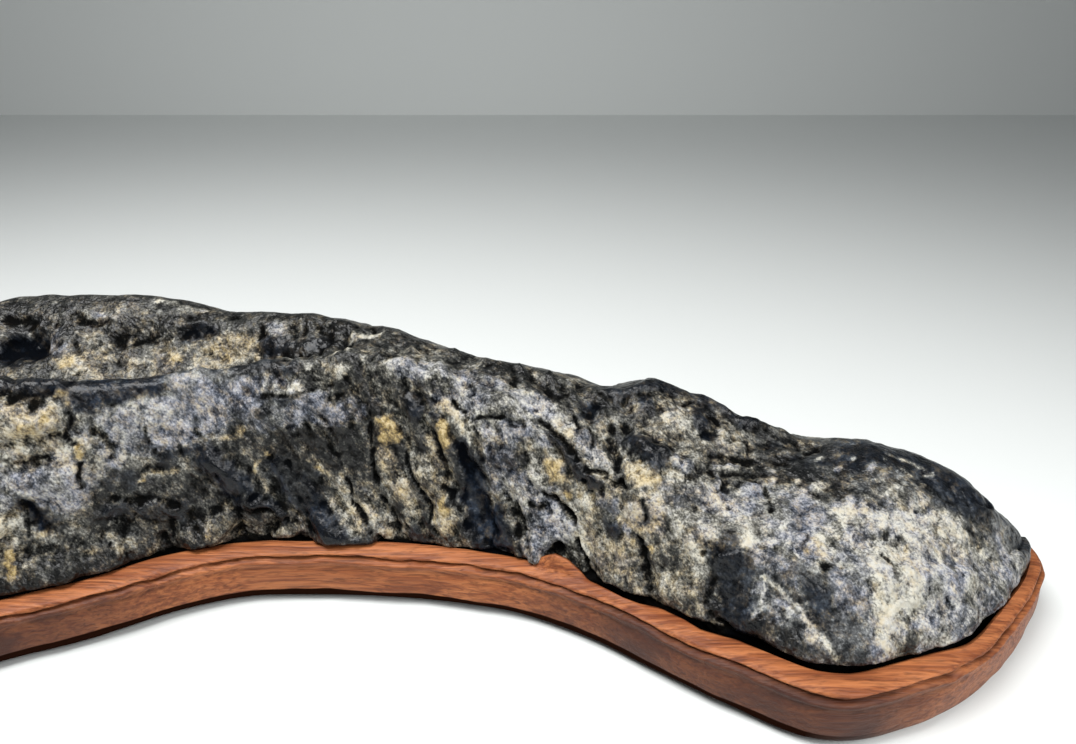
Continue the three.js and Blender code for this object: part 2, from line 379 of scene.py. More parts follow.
    def profile(self, x: np.ndarray) -> np.ndarray:
        """The points that a section's curve runs through, drawn in towards the nose at each end.

        Args:
            x: the sections' places, (n,).

        Returns:
            The twelve points (y, z) of each section, one to a girth, (n, 12, 2).
        """
        front, crest_y, crest_z, trough_y, trough_z, ridge_y, ridge_z, back, _ = self.station_values(x).T
        level = np.zeros_like(front)
        points = [(front + self.foot_tuck, level + self.base_z)]
        points += [(front, level + self.foot_z - self.foot_depth)]
        for across, up in self.face_points:
            points.append((blend(front, crest_y, across), blend(self.foot_z, crest_z, up)))
        points += [(crest_y, crest_z), (trough_y, trough_z), (ridge_y, ridge_z)]
        for across, up in self.back_points:
            points.append((blend(ridge_y, back, across), blend(self.foot_z, ridge_z, up)))
        points += [(back, level + self.foot_z), (back - self.foot_tuck, level + self.base_z)]
        section = np.stack([np.stack(point, axis=-1) for point in points], axis=1)
        nose_y = np.where(x < 0, self.nose_left_y, self.nose_right_y)
        nose = np.stack([nose_y, level + self.nose_z], axis=-1)[:, None]
        return nose + self.end_factor(x)[:, None, None] * (section - nose)

    def surface(self, x: np.ndarray, girth: np.ndarray) -> np.ndarray:
        """Points of the smooth surface: the section's curve at each x, read at its row of girths.

        Args:
            x: the sections' places, (n,).
            girth: where to read each section, (n, m).

        Returns:
            The points, (n, m, 3).
        """
        knots = np.arange(self.last_girth + 1, dtype=float)
        section = curve_through(knots, self.profile(x), girth)
        along = np.broadcast_to(x[:, None, None], (*girth.shape, 1))
        return np.concatenate([along, section], axis=-1)

    def hang(self, points: np.ndarray) -> np.ndarray:
        """How far the front lobes hang out over the foot: fully at their height, less above and below it.

        Args:
            points: places on the stone, (n, 3).

        Returns:
            The reach at each, (n,), negative where the foot is drawn in.
        """
        x, _, height = points.T
        level = read_rows(self.hem_rise, x)
        above = smoothstep(level + self.hem_fade, level + self.hem_full, height)
        return read_rows(self.hem, x) * (smoothstep(self.foot_z, level, height) * above)

    def gap(self, x: np.ndarray, front: np.ndarray) -> np.ndarray:
        """The recess wall's distance from the foot at each x; along the front it widens at the head."""
        return np.where(front, read_rows(self.front_gap, x), self.wall_gap)

    def shift(self) -> np.ndarray:
        """Finds what brings the form's own x and y to the CAD solid's, which is centred over the origin.

        Returns:
            The shift (x, y, 0), from the middle of the footprint to the middle of the CAD node's box.
        """
        low, high = (np.array(corner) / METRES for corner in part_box("stone"))
        x = np.linspace(self.left, self.right, self.shift_steps)
        edge = self.surface(x, np.broadcast_to(self.foot_girths, (len(x), 2)))[..., :2].reshape(-1, 2)
        middle = (edge.min(axis=0) + edge.max(axis=0)) / 2.0
        return np.append((low + high)[:2] / 2.0 - middle, 0.0)


# ---------------------------------------------------------------- weathering

class Cut(Enum):
    """How a mark's relief falls away from its line."""

    SWELL = "swell"  # rounded: a lump, or a hollow
    CREASE = "crease"  # sharp in the middle: a crack, or a thin ridge
    BOWL = "bowl"  # a pit with a lip
    LEDGE = "ledge"  # a step: full height on the line, easing away to its left, nothing to its right


class Tint(Enum):
    """What a mark leaves on the skin, from 0 to 1: crust, ochre, polish and lilac. NONE leaves it be."""

    NONE = None
    CREAM = (0.9, 0.16, 0.0, 0.32)
    OCHRE = (0.95, 1.0, 0.0, 0.0)
    TAN = (0.7, 0.38, 0.0, 0.3)
    GREY = (0.62, 0.05, 0.0, 0.7)
    BARE = (0.0, 0.1, 0.2, 0.1)
    NAVY = (0.0, 0.0, 1.0, 0.0)
    GLOSS = (0.0, 0.1, 1.0, 0.0)
    LILAC = (0.46, 0.1, 0.3, 1.0)


LAYERS = ("crust", "ochre", "polish", "lilac")
SWELL, CREASE, BOWL, LEDGE = Cut
NONE, CREAM, OCHRE, TAN, GREY, BARE, NAVY, GLOSS, LILAC = Tint


@dataclass(frozen=True)
class Mark:
    """One feature of the skin.

    Attributes:
        cut: how its relief falls away.
        tint: what it leaves on the skin.
        width: from its line to its edge, in millimetres.
        height: of its relief, in millimetres, negative for a cut.
        path: the places (x, girth) its line runs through; one place makes it round.
        strength: how far it covers the tint under it, from 0 to 1.
    """

    STEPS = 4  # pieces of the line between two places of the path
    CREASE_POWER = 1.6
    BOWL_POWER = 2.5
    LIP = 0.28  # a bowl's lip: its height, and its middle and half width as shares of the bowl's width
    LIP_MIDDLE = 1.05
    LIP_WIDTH = 0.22
    LEDGE_POWER = 1.3
    LEDGE_EDGE = (-0.35, 0.15)  # the distances across the line over which a ledge rises to its height

    cut: Cut
    tint: Tint
    width: float
    height: float
    path: Path
    strength: float = 1.0

    def line(self, form: StoneForm) -> np.ndarray:
        """Finds the line's points in space, with steps between its places so that it lies on the stone.

        Args:
            form: the stone's smooth form.

        Returns:
            The points, (k, 3).
        """
        places = np.array(self.path, float)
        steps = (len(places) - 1) * self.STEPS + 1
        at = np.linspace(0, len(places) - 1, steps)
        x = np.interp(at, np.arange(len(places)), places[:, 0])
        girth = np.interp(at, np.arange(len(places)), places[:, 1])
        return form.surface(x, girth[:, None])[:, 0]

    def falloff(self, part: np.ndarray, side: np.ndarray) -> np.ndarray:
        """The relief's share of its height: a rounded bump, or a power of what is left of the width.

        Args:
            part: the distance from the line over the width, (n,).
            side: the signed distance across the line, (n,), positive on its left.

        Returns:
            The share, (n,), 1 on the line and 0 outside the width, where a bowl's lip stands up.
        """
        inside = np.clip(1.0 - part, 0.0, 1.0)
        if self.cut is SWELL:
            return (1.0 - np.minimum(part, 1.0) ** 2) ** 2
        if self.cut is CREASE:
            return inside ** self.CREASE_POWER
        if self.cut is BOWL:
            lip = np.exp(-((part - self.LIP_MIDDLE) / self.LIP_WIDTH) ** 2)
            return np.where(part < 1.0, 1.0 - part ** self.BOWL_POWER, 0.0) - self.LIP * lip
        return inside ** self.LEDGE_POWER * smoothstep(*self.LEDGE_EDGE, side)


def distance_to_line(
    points: np.ndarray, normals: np.ndarray, line: np.ndarray
) -> tuple[np.ndarray, np.ndarray]:
    """How far points are from a line of straight pieces, and on which side of it.

    Args:
        points: the points, (n, 3).
        normals: the surface's outward directions there, (n, 3).
        line: the line's points, (k, 3).

    Returns:
        The distance, (n,), and the signed distance across the line, (n,), positive on its left as seen from
        outside.
    """
    nearest = np.linalg.norm(points - line[0], axis=1)
    side = nearest.copy()
    for start, end in zip(line[:-1], line[1:]):
        way = end - start
        part = np.clip((points - start) @ way / max(way @ way, TINY), 0.0, 1.0)
        away = points - start - part[:, None] * way
        distance = np.linalg.norm(away, axis=1)
        left = np.cross(normals, way / max(np.linalg.norm(way), TINY))
        closer = distance < nearest
        nearest = np.where(closer, distance, nearest)
        side = np.where(closer, np.sum(away * left, axis=1), side)
    return nearest, side


@dataclass
class Skin:
    """The stone's skin while it weathers: where it is, how far it stands out and what covers it."""

    REACH = 1.5  # widths from its line, and a margin in millimetres, that a mark is looked for in
    MARGIN = 1.0
    COVER = (1.05, 0.45)  # the shares of a mark's width between which its tint grows from none to full
    FRAYED = 0.35  # how much the noise moves that edge
    LEDGE_COVER = (-0.2, 0.2)  # the distances across the line over which a ledge's tint begins

    points: np.ndarray  # (n, 3), on the smooth form
    normals: np.ndarray  # (n, 3)
    relief: np.ndarray  # (n,), how far the skin stands out
    layers: np.ndarray  # (n, 4), as LAYERS
    girth: np.ndarray  # (n,)
    wander: np.ndarray  # (n, 3): how far the marks' edges stray
    fray: np.ndarray  # (n,): noise that frays a tint's edge
    grain: np.ndarray  # (n,): how much paler each nodule is than its neighbours

    def apply(self, mark: Mark, form: StoneForm) -> None:
        """Cuts one mark into the skin and tints it: each layer moves towards the tint's, less at the edge.

        Args:
            mark: what to cut.
            form: the stone's smooth form.
        """
        line = mark.line(form)
        reach = mark.width * self.REACH + self.MARGIN
        near = (self.points > line.min(axis=0) - reach) & (self.points < line.max(axis=0) + reach)
        here = np.flatnonzero(np.all(near, axis=1))
        if not len(here):
            return
        places = self.points[here] + self.wander[here] * min(1.0, mark.width)
        distance, side = distance_to_line(places, self.normals[here], line)
        part = distance / mark.width
        self.relief[here] += mark.height * mark.falloff(part, side)
        if mark.tint.value is None:
            return
        cover = mark.strength * smoothstep(*self.COVER, part + self.FRAYED * self.fray[here])
        if mark.cut is LEDGE:
            cover *= smoothstep(*self.LEDGE_COVER, side)
        self.layers[here] = blend(self.layers[here], np.array(mark.tint.value), cover[:, None])


# Broad washes of colour come first, without relief. Each row: tint, width, strength, path.
WASHES = (
    (BARE, 14, 0.9, ((-60, 7.2), (-30, 7.2), (0, 7.2), (30, 7.2), (60, 7.2), (80, 7.2))),
    (TAN, 7, 0.35, ((-70, 6.1), (-40, 6.3), (-22, 6.3), (-5, 6.3))),
    (TAN, 7, 0.55, ((-60, 3.8), (-38, 4.1), (-31, 3.9))),
    (GREY, 5, 0.7, ((-38, 3.0), (-30, 2.9))),
    (LILAC, 8, 0.85, ((-26, 3.4), (-16, 3.7), (-8, 3.8), (-3, 3.9))),
    (TAN, 5, 0.7, ((-40, 1.9), (-28, 1.8))),
    (BARE, 6, 0.8, ((-22, 2.3), (-8, 2.2), (4, 2.4))),
    (BARE, 9, 0.6, ((2, 3.0), (14, 3.4), (20, 2.4))),
    (TAN, 6, 0.5, ((18, 2.6), (24, 2.2))),
    (GREY, 6, 0.6, ((28, 4.6), (36, 4.5), (42, 4.9))),
    (GREY, 5, 0.8, ((42, 2.9), (45, 2.0))),
    (CREAM, 5, 0.25, ((56, 5.2), (66, 6.1), (76, 6.4))),
    (CREAM, 7, 0.25, ((58, 4.0), (66, 5.0), (76, 5.4))),
    (BARE, 8, 0.5, ((56, 2.4), (66, 2.0))),
    (GREY, 11, 0.85, ((84, 5.5), (92, 5.0), (98, 4.8))),
    (CREAM, 9, 0.45, ((90, 4.9), (97, 5.0), (106, 5.2), (114, 5.1))),
    (GREY, 6, 0.9, ((98, 3.4), (110, 3.2))),
    (CREAM, 3, 0.8, ((98, 3.6), (102, 2.8), (108, 3.2))),
    (BARE, 7, 0.7, ((72, 2.6), (82, 1.8), (98, 1.6), (112, 2.0))),
    (GLOSS, 8.5, 0.88, ((85, 6.6), (91, 6.5), (98, 6.75), (104, 6.75), (110, 6.5), (116, 6.1), (121, 5.8))),
    (GREY, 4.5, 0.4, ((90, 5.95), (99, 6.2), (105, 6.0), (112, 5.65), (118, 5.25))),
    (BARE, 4.5, 0.85, (
        (5, 6.45), (28.5, 5.75), (33.5, 5.85), (38.5, 6.1), (42.5, 6.1), (46, 6.4), (50.5, 6.4),
    )),
    (BARE, 5, 0.85, ((-49, 6.75), (-28, 6.72), (-17, 6.72), (-6, 6.7))),
    (BARE, 6, 0.6, ((9, 5.3), (20, 5.1), (30, 5.2), (40, 5.3))),
    (GLOSS, 3.6, 1.0, ((-34, 4.85), (-28, 4.6), (-22, 4.7), (-17, 4.85))),
    (BARE, 4, 0.7, ((80, 6.3), (85, 6.3), (88, 6.1))),
    (GREY, 6, 0.5, ((60, 4.8), (66, 5.1), (72, 5.3), (78, 5.4))),
    (BARE, 9, 0.55, ((-50, 6.35), (-28, 6.4), (-5, 6.35))),
    (TAN, 7, 0.5, ((54, 2.6), (63, 2.3), (66, 2.8))),
    # the left
    (TAN, 5, 0.5, ((-37, 4.1), (-34, 3.9))),
    (TAN, 5, 0.6, ((-32.5, 3.4), (-29, 3.35))),
    (LILAC, 5, 0.7, ((-35, 2.85), (-31, 2.8))),
    (CREAM, 4, 0.7, ((-39, 2.4), (-36.5, 2.2))),
    (BARE, 4, 0.9, ((-34.5, 2.15), (-32.5, 1.85))),
    (BARE, 5, 0.85, ((-38.5, 1.6), (-27.5, 1.6), (-20, 1.6))),
    (BARE, 6, 0.8, ((-27.5, 2.2), (-21, 1.95))),
    (BARE, 7, 0.9, ((-23, 2.55), (-16, 2.4), (-8.5, 2.45))),
    (TAN, 1.6, 0.6, ((-13, 1.85),)),
    (TAN, 1.8, 0.6, ((-9, 2.2),)),
    (TAN, 2.2, 0.6, ((-25, 1.8),)),
    (TAN, 1.8, 0.6, ((-21, 1.45),)),
    (TAN, 1.6, 0.6, ((-29, 1.9),)),
    # the middle
    (BARE, 7, 0.7, ((-4.5, 3.05), (3.5, 2.85), (12, 2.9))),
    (GREY, 4, 0.8, ((0, 3.6), (5, 3.6))),
    (GREY, 1.6, 0.7, ((10, 3.55), (12.5, 3.8))),
    (GREY, 2, 0.8, ((23, 3.75),)),
    (GREY, 3.5, 0.7, ((37, 3.4), (38.5, 2.7))),
    (GREY, 6, 0.7, ((32, 4.8), (40, 4.2))),
    (CREAM, 2, 0.8, ((29, 4.0), (31, 3.6), (33, 3.25))),
    (BARE, 1.2, 0.9, ((15.5, 3.2), (18, 2.6), (20.5, 2.0))),
    (TAN, 1.1, 0.9, ((17.5, 3.05), (20, 2.55), (22.5, 2.0))),
    (BARE, 1.1, 0.8, ((19, 3.1), (22, 2.6), (24.5, 1.9))),
    (TAN, 1.0, 0.8, ((20.5, 3.15), (23.5, 2.6), (26.5, 1.95))),
    (BARE, 1.0, 0.8, ((22.8, 3.2), (25.6, 2.7), (28, 2.0))),
    (TAN, 1.1, 0.8, ((24.5, 3.25), (27.5, 2.75), (29, 2.0))),
    (TAN, 0.6, 0.7, ((-5, 2.95), (-3, 2.55), (-1.5, 2.2))),
    (TAN, 0.7, 0.7, ((6, 2.85), (9, 2.4), (13, 1.7))),
    (TAN, 0.8, 0.7, ((10, 2.5), (11.5, 2.2), (14.5, 1.55))),
    # the right
    (TAN, 5, 0.6, ((52.5, 3.35), (58.5, 3.55))),
    (TAN, 2.4, 0.7, ((57.5, 5.05), (60.5, 5.15))),
    (CREAM, 1.2, 0.8, ((65.5, 3.45), (67.5, 3.15))),
    (CREAM, 1.5, 0.9, ((73, 4.55),)),
    (LILAC, 2.5, 0.8, ((70.5, 3.8),)),
    (GLOSS, 4.5, 0.7, ((70.5, 3.5), (72.5, 2.55), (73.5, 1.75))),
    (GLOSS, 2.6, 0.8, ((81.5, 3.55), (83.5, 2.9))),
    (LILAC, 3.5, 0.7, ((87.5, 4.9), (86.5, 3.4), (87.5, 2.25))),
    (LILAC, 4, 0.7, ((78, 5.7), (80.5, 5.45))),
    (CREAM, 3, 0.8, ((91.5, 3.3), (92.5, 2.1))),
    (CREAM, 3.5, 0.8, ((95.5, 4.85), (96.5, 3.25), (101.5, 2.65))),
    (CREAM, 2, 0.8, ((102.5, 5.6), (107, 5.6))),
    (CREAM, 2, 0.7, ((88.5, 5.6), (92, 5.55))),
    (CREAM, 1.5, 0.9, ((84, 5.25),)),
    (NAVY, 3, 0.6, ((104.5, 6.25), (111.5, 6.05))),
    (LILAC, 3, 0.7, ((99, 3.4), (104, 3.45))),
    (LILAC, 3, 0.7, ((115, 5.35), (117, 3.9))),
    (GREY, 6, 0.8, ((100, 1.9), (110, 2.0), (116, 2.6))),
    (LILAC, 7, 0.75, ((75, 3.2), (84, 2.8), (86, 2.0))),
    (TAN, 7, 0.25, ((60, 6.3), (68, 6.5), (76, 6.7))),
    (BARE, 7, 0.12, ((62, 5.2), (70, 5.6), (78, 5.6))),
    (BARE, 8, 0.15, ((0, 3.0), (14, 2.8), (24, 2.8))),
    (GREY, 12, 0.18, ((-38, 3.8), (-34, 2.9))),
    # the back, and the left end
    (GLOSS, 7, 0.6, ((-104, 7.0), (-80, 7.0), (-60, 7.0))),
    (GLOSS, 5, 0.7, ((-105, 5.0), (-80, 5.0), (-50, 4.95))),
    (BARE, 10, 0.6, ((-95, 8.6), (-70, 8.8), (-50, 8.6))),
    (CREAM, 8, 0.5, ((-40, 9.2), (-22, 9.0), (-10, 8.6))),
    (GREY, 9, 0.6, ((0, 8.2), (20, 8.4))),
    (BARE, 8, 0.7, ((30, 9.2), (45, 8.8), (60, 8.2))),
    (TAN, 8, 0.6, ((62, 9.2), (80, 9.2))),
    (BARE, 7, 0.6, ((100, 8.6), (112, 8.4))),
    (LILAC, 8, 0.6, ((-98, 3.4), (-85, 3.2))),
    (BARE, 8, 0.7, ((-90, 2.0), (-70, 1.9), (-55, 2.0))),
    (CREAM, 7, 0.6, ((-72, 3.4), (-60, 3.2))),
)
# Then each stretch of the stone. Each row: cut, tint, width, height, path, and strength if it isn't 1.
LEFT = (
    # the back ridge, and the trough with its hollows
    (SWELL, BARE, 4.6, -0.2, ((-60, 6.95), (-46, 6.9), (-27, 6.92), (-14, 6.9)), 0.9),
    (SWELL, BARE, 4.0, -0.2, ((-14, 6.85), (-1, 6.95), (8, 6.8), (22, 6.6)), 0.8),
    (SWELL, BARE, 6.0, -0.9, ((-18, 7.0), (-13, 6.95)), 0.8),
    (SWELL, GREY, 1.3, 0.25, ((-39, 6.78), (-31, 6.7)), 0.6),
    (SWELL, CREAM, 1.2, 0.2, ((-25, 6.95), (-18, 6.98)), 0.6),
    (SWELL, GLOSS, 4.4, -2.2, ((-48, 6.45), (-43.5, 6.45)), 0.9),
    (SWELL, BARE, 2.4, -1.0, ((-50, 6.72), (-46.5, 6.68)), 0.9),
    (SWELL, LILAC, 3.2, 0.5, ((-40.5, 6.48),), 0.8),
    (BOWL, BARE, 1.27, -0.25, ((-41, 6.62),), 0.54),
    (SWELL, BARE, 1.4, -0.6, ((-39, 6.68), (-34, 6.66)), 0.9),
    (CREASE, BARE, 0.9, -0.3, ((-39, 6.5), (-36, 6.35)), 0.6),
    (SWELL, TAN, 4.6, 0.6, ((-34.8, 6.33),), 0.5),
    (CREASE, BARE, 0.7, -0.61, ((-31, 6.5), (-29.5, 6.15)), 0.9),
    (SWELL, BARE, 2.8, -0.9, ((-30.5, 6.48), (-26, 6.54)), 0.9),
    (SWELL, GLOSS, 2.6, -0.9, ((-18, 6.5), (-15.5, 6.5)), 0.9),
    (SWELL, OCHRE, 1.9, 0.5, ((-20.5, 6.26),), 0.6),
    (SWELL, OCHRE, 1.6, 0.3, ((-39, 6.3),), 0.6),
    (SWELL, CREAM, 1.4, 0.2, ((-36.5, 6.2),), 0.8),
    (SWELL, CREAM, 1.0, 0.4, ((-28, 6.12),)),
    (SWELL, OCHRE, 2.4, 0.3, ((-14, 6.4), (-10.5, 6.34), (-5.5, 6.34)), 0.3),
    (SWELL, TAN, 5.0, 0.2, ((-40, 6.3), (-22, 6.25), (-8, 6.3)), 0.18),
    (SWELL, TAN, 1.2, 0.2, ((-16.5, 6.15), (-8, 6.08), (-2, 6.0)), 0.7),
    (SWELL, GREY, 3.2, 1.2, ((-3.5, 6.56),), 0.8),
    (CREASE, BARE, 1.05, -0.65, ((-6, 6.62), (-5.5, 6.38))),
    (SWELL, GLOSS, 2.4, 1.0, ((-4, 6.3), (5.5, 6.1)), 0.8),
    (SWELL, BARE, 1.8, -1.0, ((0, 5.95), (6.5, 5.4))),
    (SWELL, BARE, 3.4, 0.1, ((1.5, 6.5), (10.5, 6.5), (19.5, 6.1)), 0.8),
    # the front crest
    (SWELL, GLOSS, 2.6, 1.0, ((-48, 5.0), (-39.5, 5.0)), 0.9),
    (SWELL, GLOSS, 2.4, 0.9, ((-36, 4.92), (-31.5, 4.85)), 0.9),
    (SWELL, GLOSS, 2.8, 0.3, ((-30.5, 4.7), (-24.5, 4.6), (-16, 4.62))),
    (SWELL, GLOSS, 2.2, 0.5, ((-14, 4.9), (-4, 4.95), (2, 4.9)), 0.7),
    (SWELL, LILAC, 5.0, 0.3, ((-14, 4.3), (-6, 4.1)), 0.8),
    # the boulder-like lumps at the far left
    (SWELL, TAN, 4.4, 1.4, ((-44, 4.1), (-38, 4.1), (-33, 3.9)), 0.5),
    (CREASE, BARE, 0.6, -0.5, ((-29.6, 4.15), (-29.3, 3.6), (-28, 3.35))),
    (SWELL, OCHRE, 1.5, 0.3, ((-34.5, 3.78),), 0.5),
    (SWELL, OCHRE, 1.2, 0.2, ((-32.4, 3.95),), 0.5),
    (SWELL, OCHRE, 1.3, 0.2, ((-30.6, 4.45),), 0.5),
    (SWELL, BARE, 1.4, -0.5, ((-33.6, 4.25),), 0.8),
    (SWELL, BARE, 1.2, -0.5, ((-36.5, 4.45),), 0.8),
    (CREASE, BARE, 0.6, -0.3, ((-44, 3.45), (-38, 3.38), (-33.5, 3.34), (-28.5, 3.26)), 0.3),
    (SWELL, OCHRE, 1.1, 0.3, ((-28.7, 3.42),), 0.9),
    (SWELL, GREY, 3.4, 1.2, ((-36, 2.98), (-30.5, 2.96)), 0.5),
    (CREASE, BARE, 0.6, -0.5, ((-28.5, 3.25), (-28.6, 2.85))),
    (SWELL, GLOSS, 2.6, -0.5, ((-36, 2.7), (-33.5, 2.45))),
    (CREASE, BARE, 0.63, -0.56, ((-36.4, 2.78), (-36, 2.45), (-35, 2.3))),
    (CREASE, BARE, 0.63, -0.47, ((-35.5, 2.44), (-31.5, 2.4))),
    (SWELL, OCHRE, 1.2, 0.2, ((-33.5, 2.3),), 0.6),
    (SWELL, TAN, 3.4, 1.7, ((-39.5, 2.4),), 0.8),
    (SWELL, OCHRE, 1.5, 0.2, ((-39, 1.95),), 0.8),
    # the lilac face and its cracks
    (CREASE, BARE, 0.6, -0.4, ((-26.6, 3.92), (-26.1, 3.55)), 0.7),
    (CREASE, BARE, 0.6, -0.45, ((-26, 3.7), (-25, 3.35), (-24, 3.12), (-22.8, 2.92)), 0.7),
    (CREASE, BARE, 0.5, -0.35, ((-20, 3.62), (-19, 3.2)), 0.7),
    (CREASE, BARE, 0.5, -0.35, ((-15.6, 3.52), (-15, 3.1)), 0.7),
    (CREASE, BARE, 0.5, -0.3, ((-13, 3.48), (-11.6, 3.25)), 0.7),
    (SWELL, CREAM, 2.0, 0.4, ((-18.6, 3.72),), 0.3),
    (SWELL, CREAM, 1.6, 0.3, ((-21.6, 4.08),), 0.3),
    (SWELL, CREAM, 2.2, 0.3, ((-23.5, 3.5), (-22, 3.0)), 0.35),
    (SWELL, GLOSS, 2.0, 0.3, ((-17.2, 3.06),), 0.7),
    (SWELL, GLOSS, 2.2, 0.3, ((-25, 2.82), (-23, 2.78)), 0.6),
    (SWELL, OCHRE, 0.8, 0.0, ((-5.5, 3.45), (-9, 3.3), (-11.5, 3.2)), 0.4),
    (SWELL, OCHRE, 0.7, 0.0, ((-17, 2.86), (-20.6, 2.84)), 0.4),
    (SWELL, OCHRE, 1.1, 0.3, ((-21.2, 2.7),), 0.8),
    # the smooth step above the granular foot
    (LEDGE, GLOSS, 2.6, 0.9, ((-16, 2.3), (-20.5, 2.42), (-24.6, 2.5)), 0.8),
    (CREASE, BARE, 0.6, -0.35, ((-25, 2.6), (-22.6, 2.4), (-21.8, 2.2)), 0.7),
    (CREASE, BARE, 0.6, -0.35, ((-20.6, 2.36), (-17, 2.15)), 0.7),
    (SWELL, TAN, 3.2, 1.2, ((-10.6, 1.92),), 0.5),
    (CREASE, BARE, 0.84, -0.56, ((-26.5, 1.9), (-25.8, 1.3))),
    (CREASE, BARE, 0.84, -0.56, ((-19, 1.8), (-17.6, 1.2))),
    (CREASE, BARE, 0.77, -0.47, ((-13.8, 1.9), (-12.4, 1.2))),
    (SWELL, BARE, 1.8, 0.9, ((-15.6, 1.5), (-14.6, 1.1)), 0.7),
)
MIDDLE = (
    # the smooth rib and the crevice under it
    (SWELL, NAVY, 3.3, 1.5, ((-11.5, 3.05), (-9, 2.75), (-5.5, 2.3))),
    (SWELL, NAVY, 2.0, 1.1, ((-5.5, 2.3), (-1, 1.95))),
    (CREASE, BARE, 0.98, -1.65, ((-6.8, 2.5), (-3.8, 2.02), (-0.2, 1.84))),
    (SWELL, OCHRE, 1.1, 0.2, ((-4.5, 2.82),), 0.7),
    (SWELL, OCHRE, 0.9, 0.2, ((-2.5, 2.92),), 0.7),
    (BOWL, OCHRE, 1.02, -0.18, ((6, 2.7),), 0.6),
    (SWELL, OCHRE, 0.8, 0.1, ((6.6, 2.48),)),
    # the blue swell under the crest, with its curl
    (SWELL, LILAC, 4.0, 0.8, ((-2, 3.7), (4, 3.74), (8.6, 3.66)), 0.9),
    (SWELL, GLOSS, 0.8, 0.5, ((-1.6, 3.68), (1, 3.8), (4, 3.9)), 0.6),
    (SWELL, CREAM, 1.6, 0.3, ((-2, 4.14), (3.4, 4.08)), 0.7),
    (CREASE, BARE, 0.5, -0.45, ((-2, 3.98), (3.4, 3.92), (9, 4.15)), 0.7),
    (SWELL, BARE, 2.0, -0.9, ((10.6, 3.88),), 0.9),
    (SWELL, LILAC, 2.2, 0.7, ((14, 3.62),), 0.9),
    (SWELL, GLOSS, 2.3, 1.1, ((22, 3.82), (23.4, 3.8)), 0.9),
    (SWELL, GLOSS, 1.1, 0.5, ((26, 3.76),), 0.9),
    (SWELL, CREAM, 1.8, 0.3, ((7.6, 4.5), (11.6, 4.45)), 0.8),
    (SWELL, CREAM, 1.4, 0.2, ((12.6, 5.15),), 0.8),
    (SWELL, CREAM, 1.4, 0.2, ((9.4, 5.2),), 0.7),
    (SWELL, CREAM, 1.5, 0.3, ((11, 6.3), (15.4, 6.44)), 0.8),
    (SWELL, CREAM, 1.9, 0.3, ((19, 4.72),), 0.8),
    (SWELL, CREAM, 2.0, 0.3, ((20.4, 4.85), (22.6, 5.8)), 0.7),
    (SWELL, GREY, 3.0, 0.3, ((20.5, 4.72), (27, 5.2)), 0.8),
    # slanting strata with ochre in them
    (SWELL, OCHRE, 2.2, 0.4, ((17.4, 3.42), (18.6, 3.12)), 0.8),
    (CREASE, BARE, 0.7, -0.83, ((15, 3.6), (15.4, 3.05), (16, 2.5))),
    (SWELL, OCHRE, 1.9, 0.4, ((26.8, 3.42), (28.2, 3.2)), 0.95),
    (CREASE, BARE, 0.63, -0.75, ((25, 3.5), (26.4, 3.1), (27.6, 2.9))),
    (SWELL, TAN, 1.5, 0.4, ((27.5, 4.1), (31, 3.62)), 0.9),
    (CREASE, BARE, 0.63, -0.92, ((29.2, 4.2), (32.2, 3.62))),
    (SWELL, CREAM, 1.2, 0.4, ((32.5, 3.75), (32.7, 3.2)), 0.8),
    (SWELL, NAVY, 3.2, 0.8, ((0.5, 2.75), (4.4, 2.25), (6.4, 1.9), (8.4, 1.5)), 0.95),
    (SWELL, TAN, 0.7, 0.3, ((9.4, 2.42), (11.4, 2.1), (13.4, 1.55)), 0.5),
    (CREASE, BARE, 0.63, -0.75, ((10.8, 2.5), (12.8, 2.1), (14.6, 1.6))),
    (SWELL, TAN, 0.8, 0.3, ((13, 2.2), (15, 1.9)), 0.6),
    (SWELL, TAN, 1.2, 0.4, ((17, 2.92), (18, 2.55), (21.4, 2.12), (23, 2.02)), 0.9),
    (CREASE, BARE, 0.77, -1.08, ((15.6, 2.7), (18, 2.2), (19.6, 1.6))),
    (SWELL, TAN, 2.0, 0.5, ((17.4, 1.62),), 0.9),
    (CREASE, BARE, 0.7, -0.99, ((21, 2.9), (24, 2.4), (26.4, 1.7))),
    (SWELL, TAN, 1.8, 0.6, ((24.4, 2.9), (27.4, 2.3), (28.6, 1.9)), 0.8),
    (SWELL, OCHRE, 1.4, 0.3, ((28, 2.28),), 0.7),
    (CREASE, BARE, 0.63, -0.92, ((27.4, 2.56), (29, 2.5), (30, 2.2))),
    (SWELL, BARE, 1.6, -0.8, ((1.6, 2.8), (3.6, 2.3)), 0.6),
    (SWELL, TAN, 1.5, 0.8, ((-2, 1.46), (1, 1.44)), 0.6),
    (CREASE, BARE, 0.84, -1.08, ((2.6, 1.5), (3, 1.1))),
    (SWELL, GLOSS, 1.8, 0.8, ((12, 1.3), (15, 1.2)), 0.6),
    (CREASE, BARE, 0.84, -0.99, ((16.2, 1.5), (17, 1.05))),
    (SWELL, GLOSS, 2.0, 0.9, ((22, 1.4), (24, 1.15)), 0.7),
)
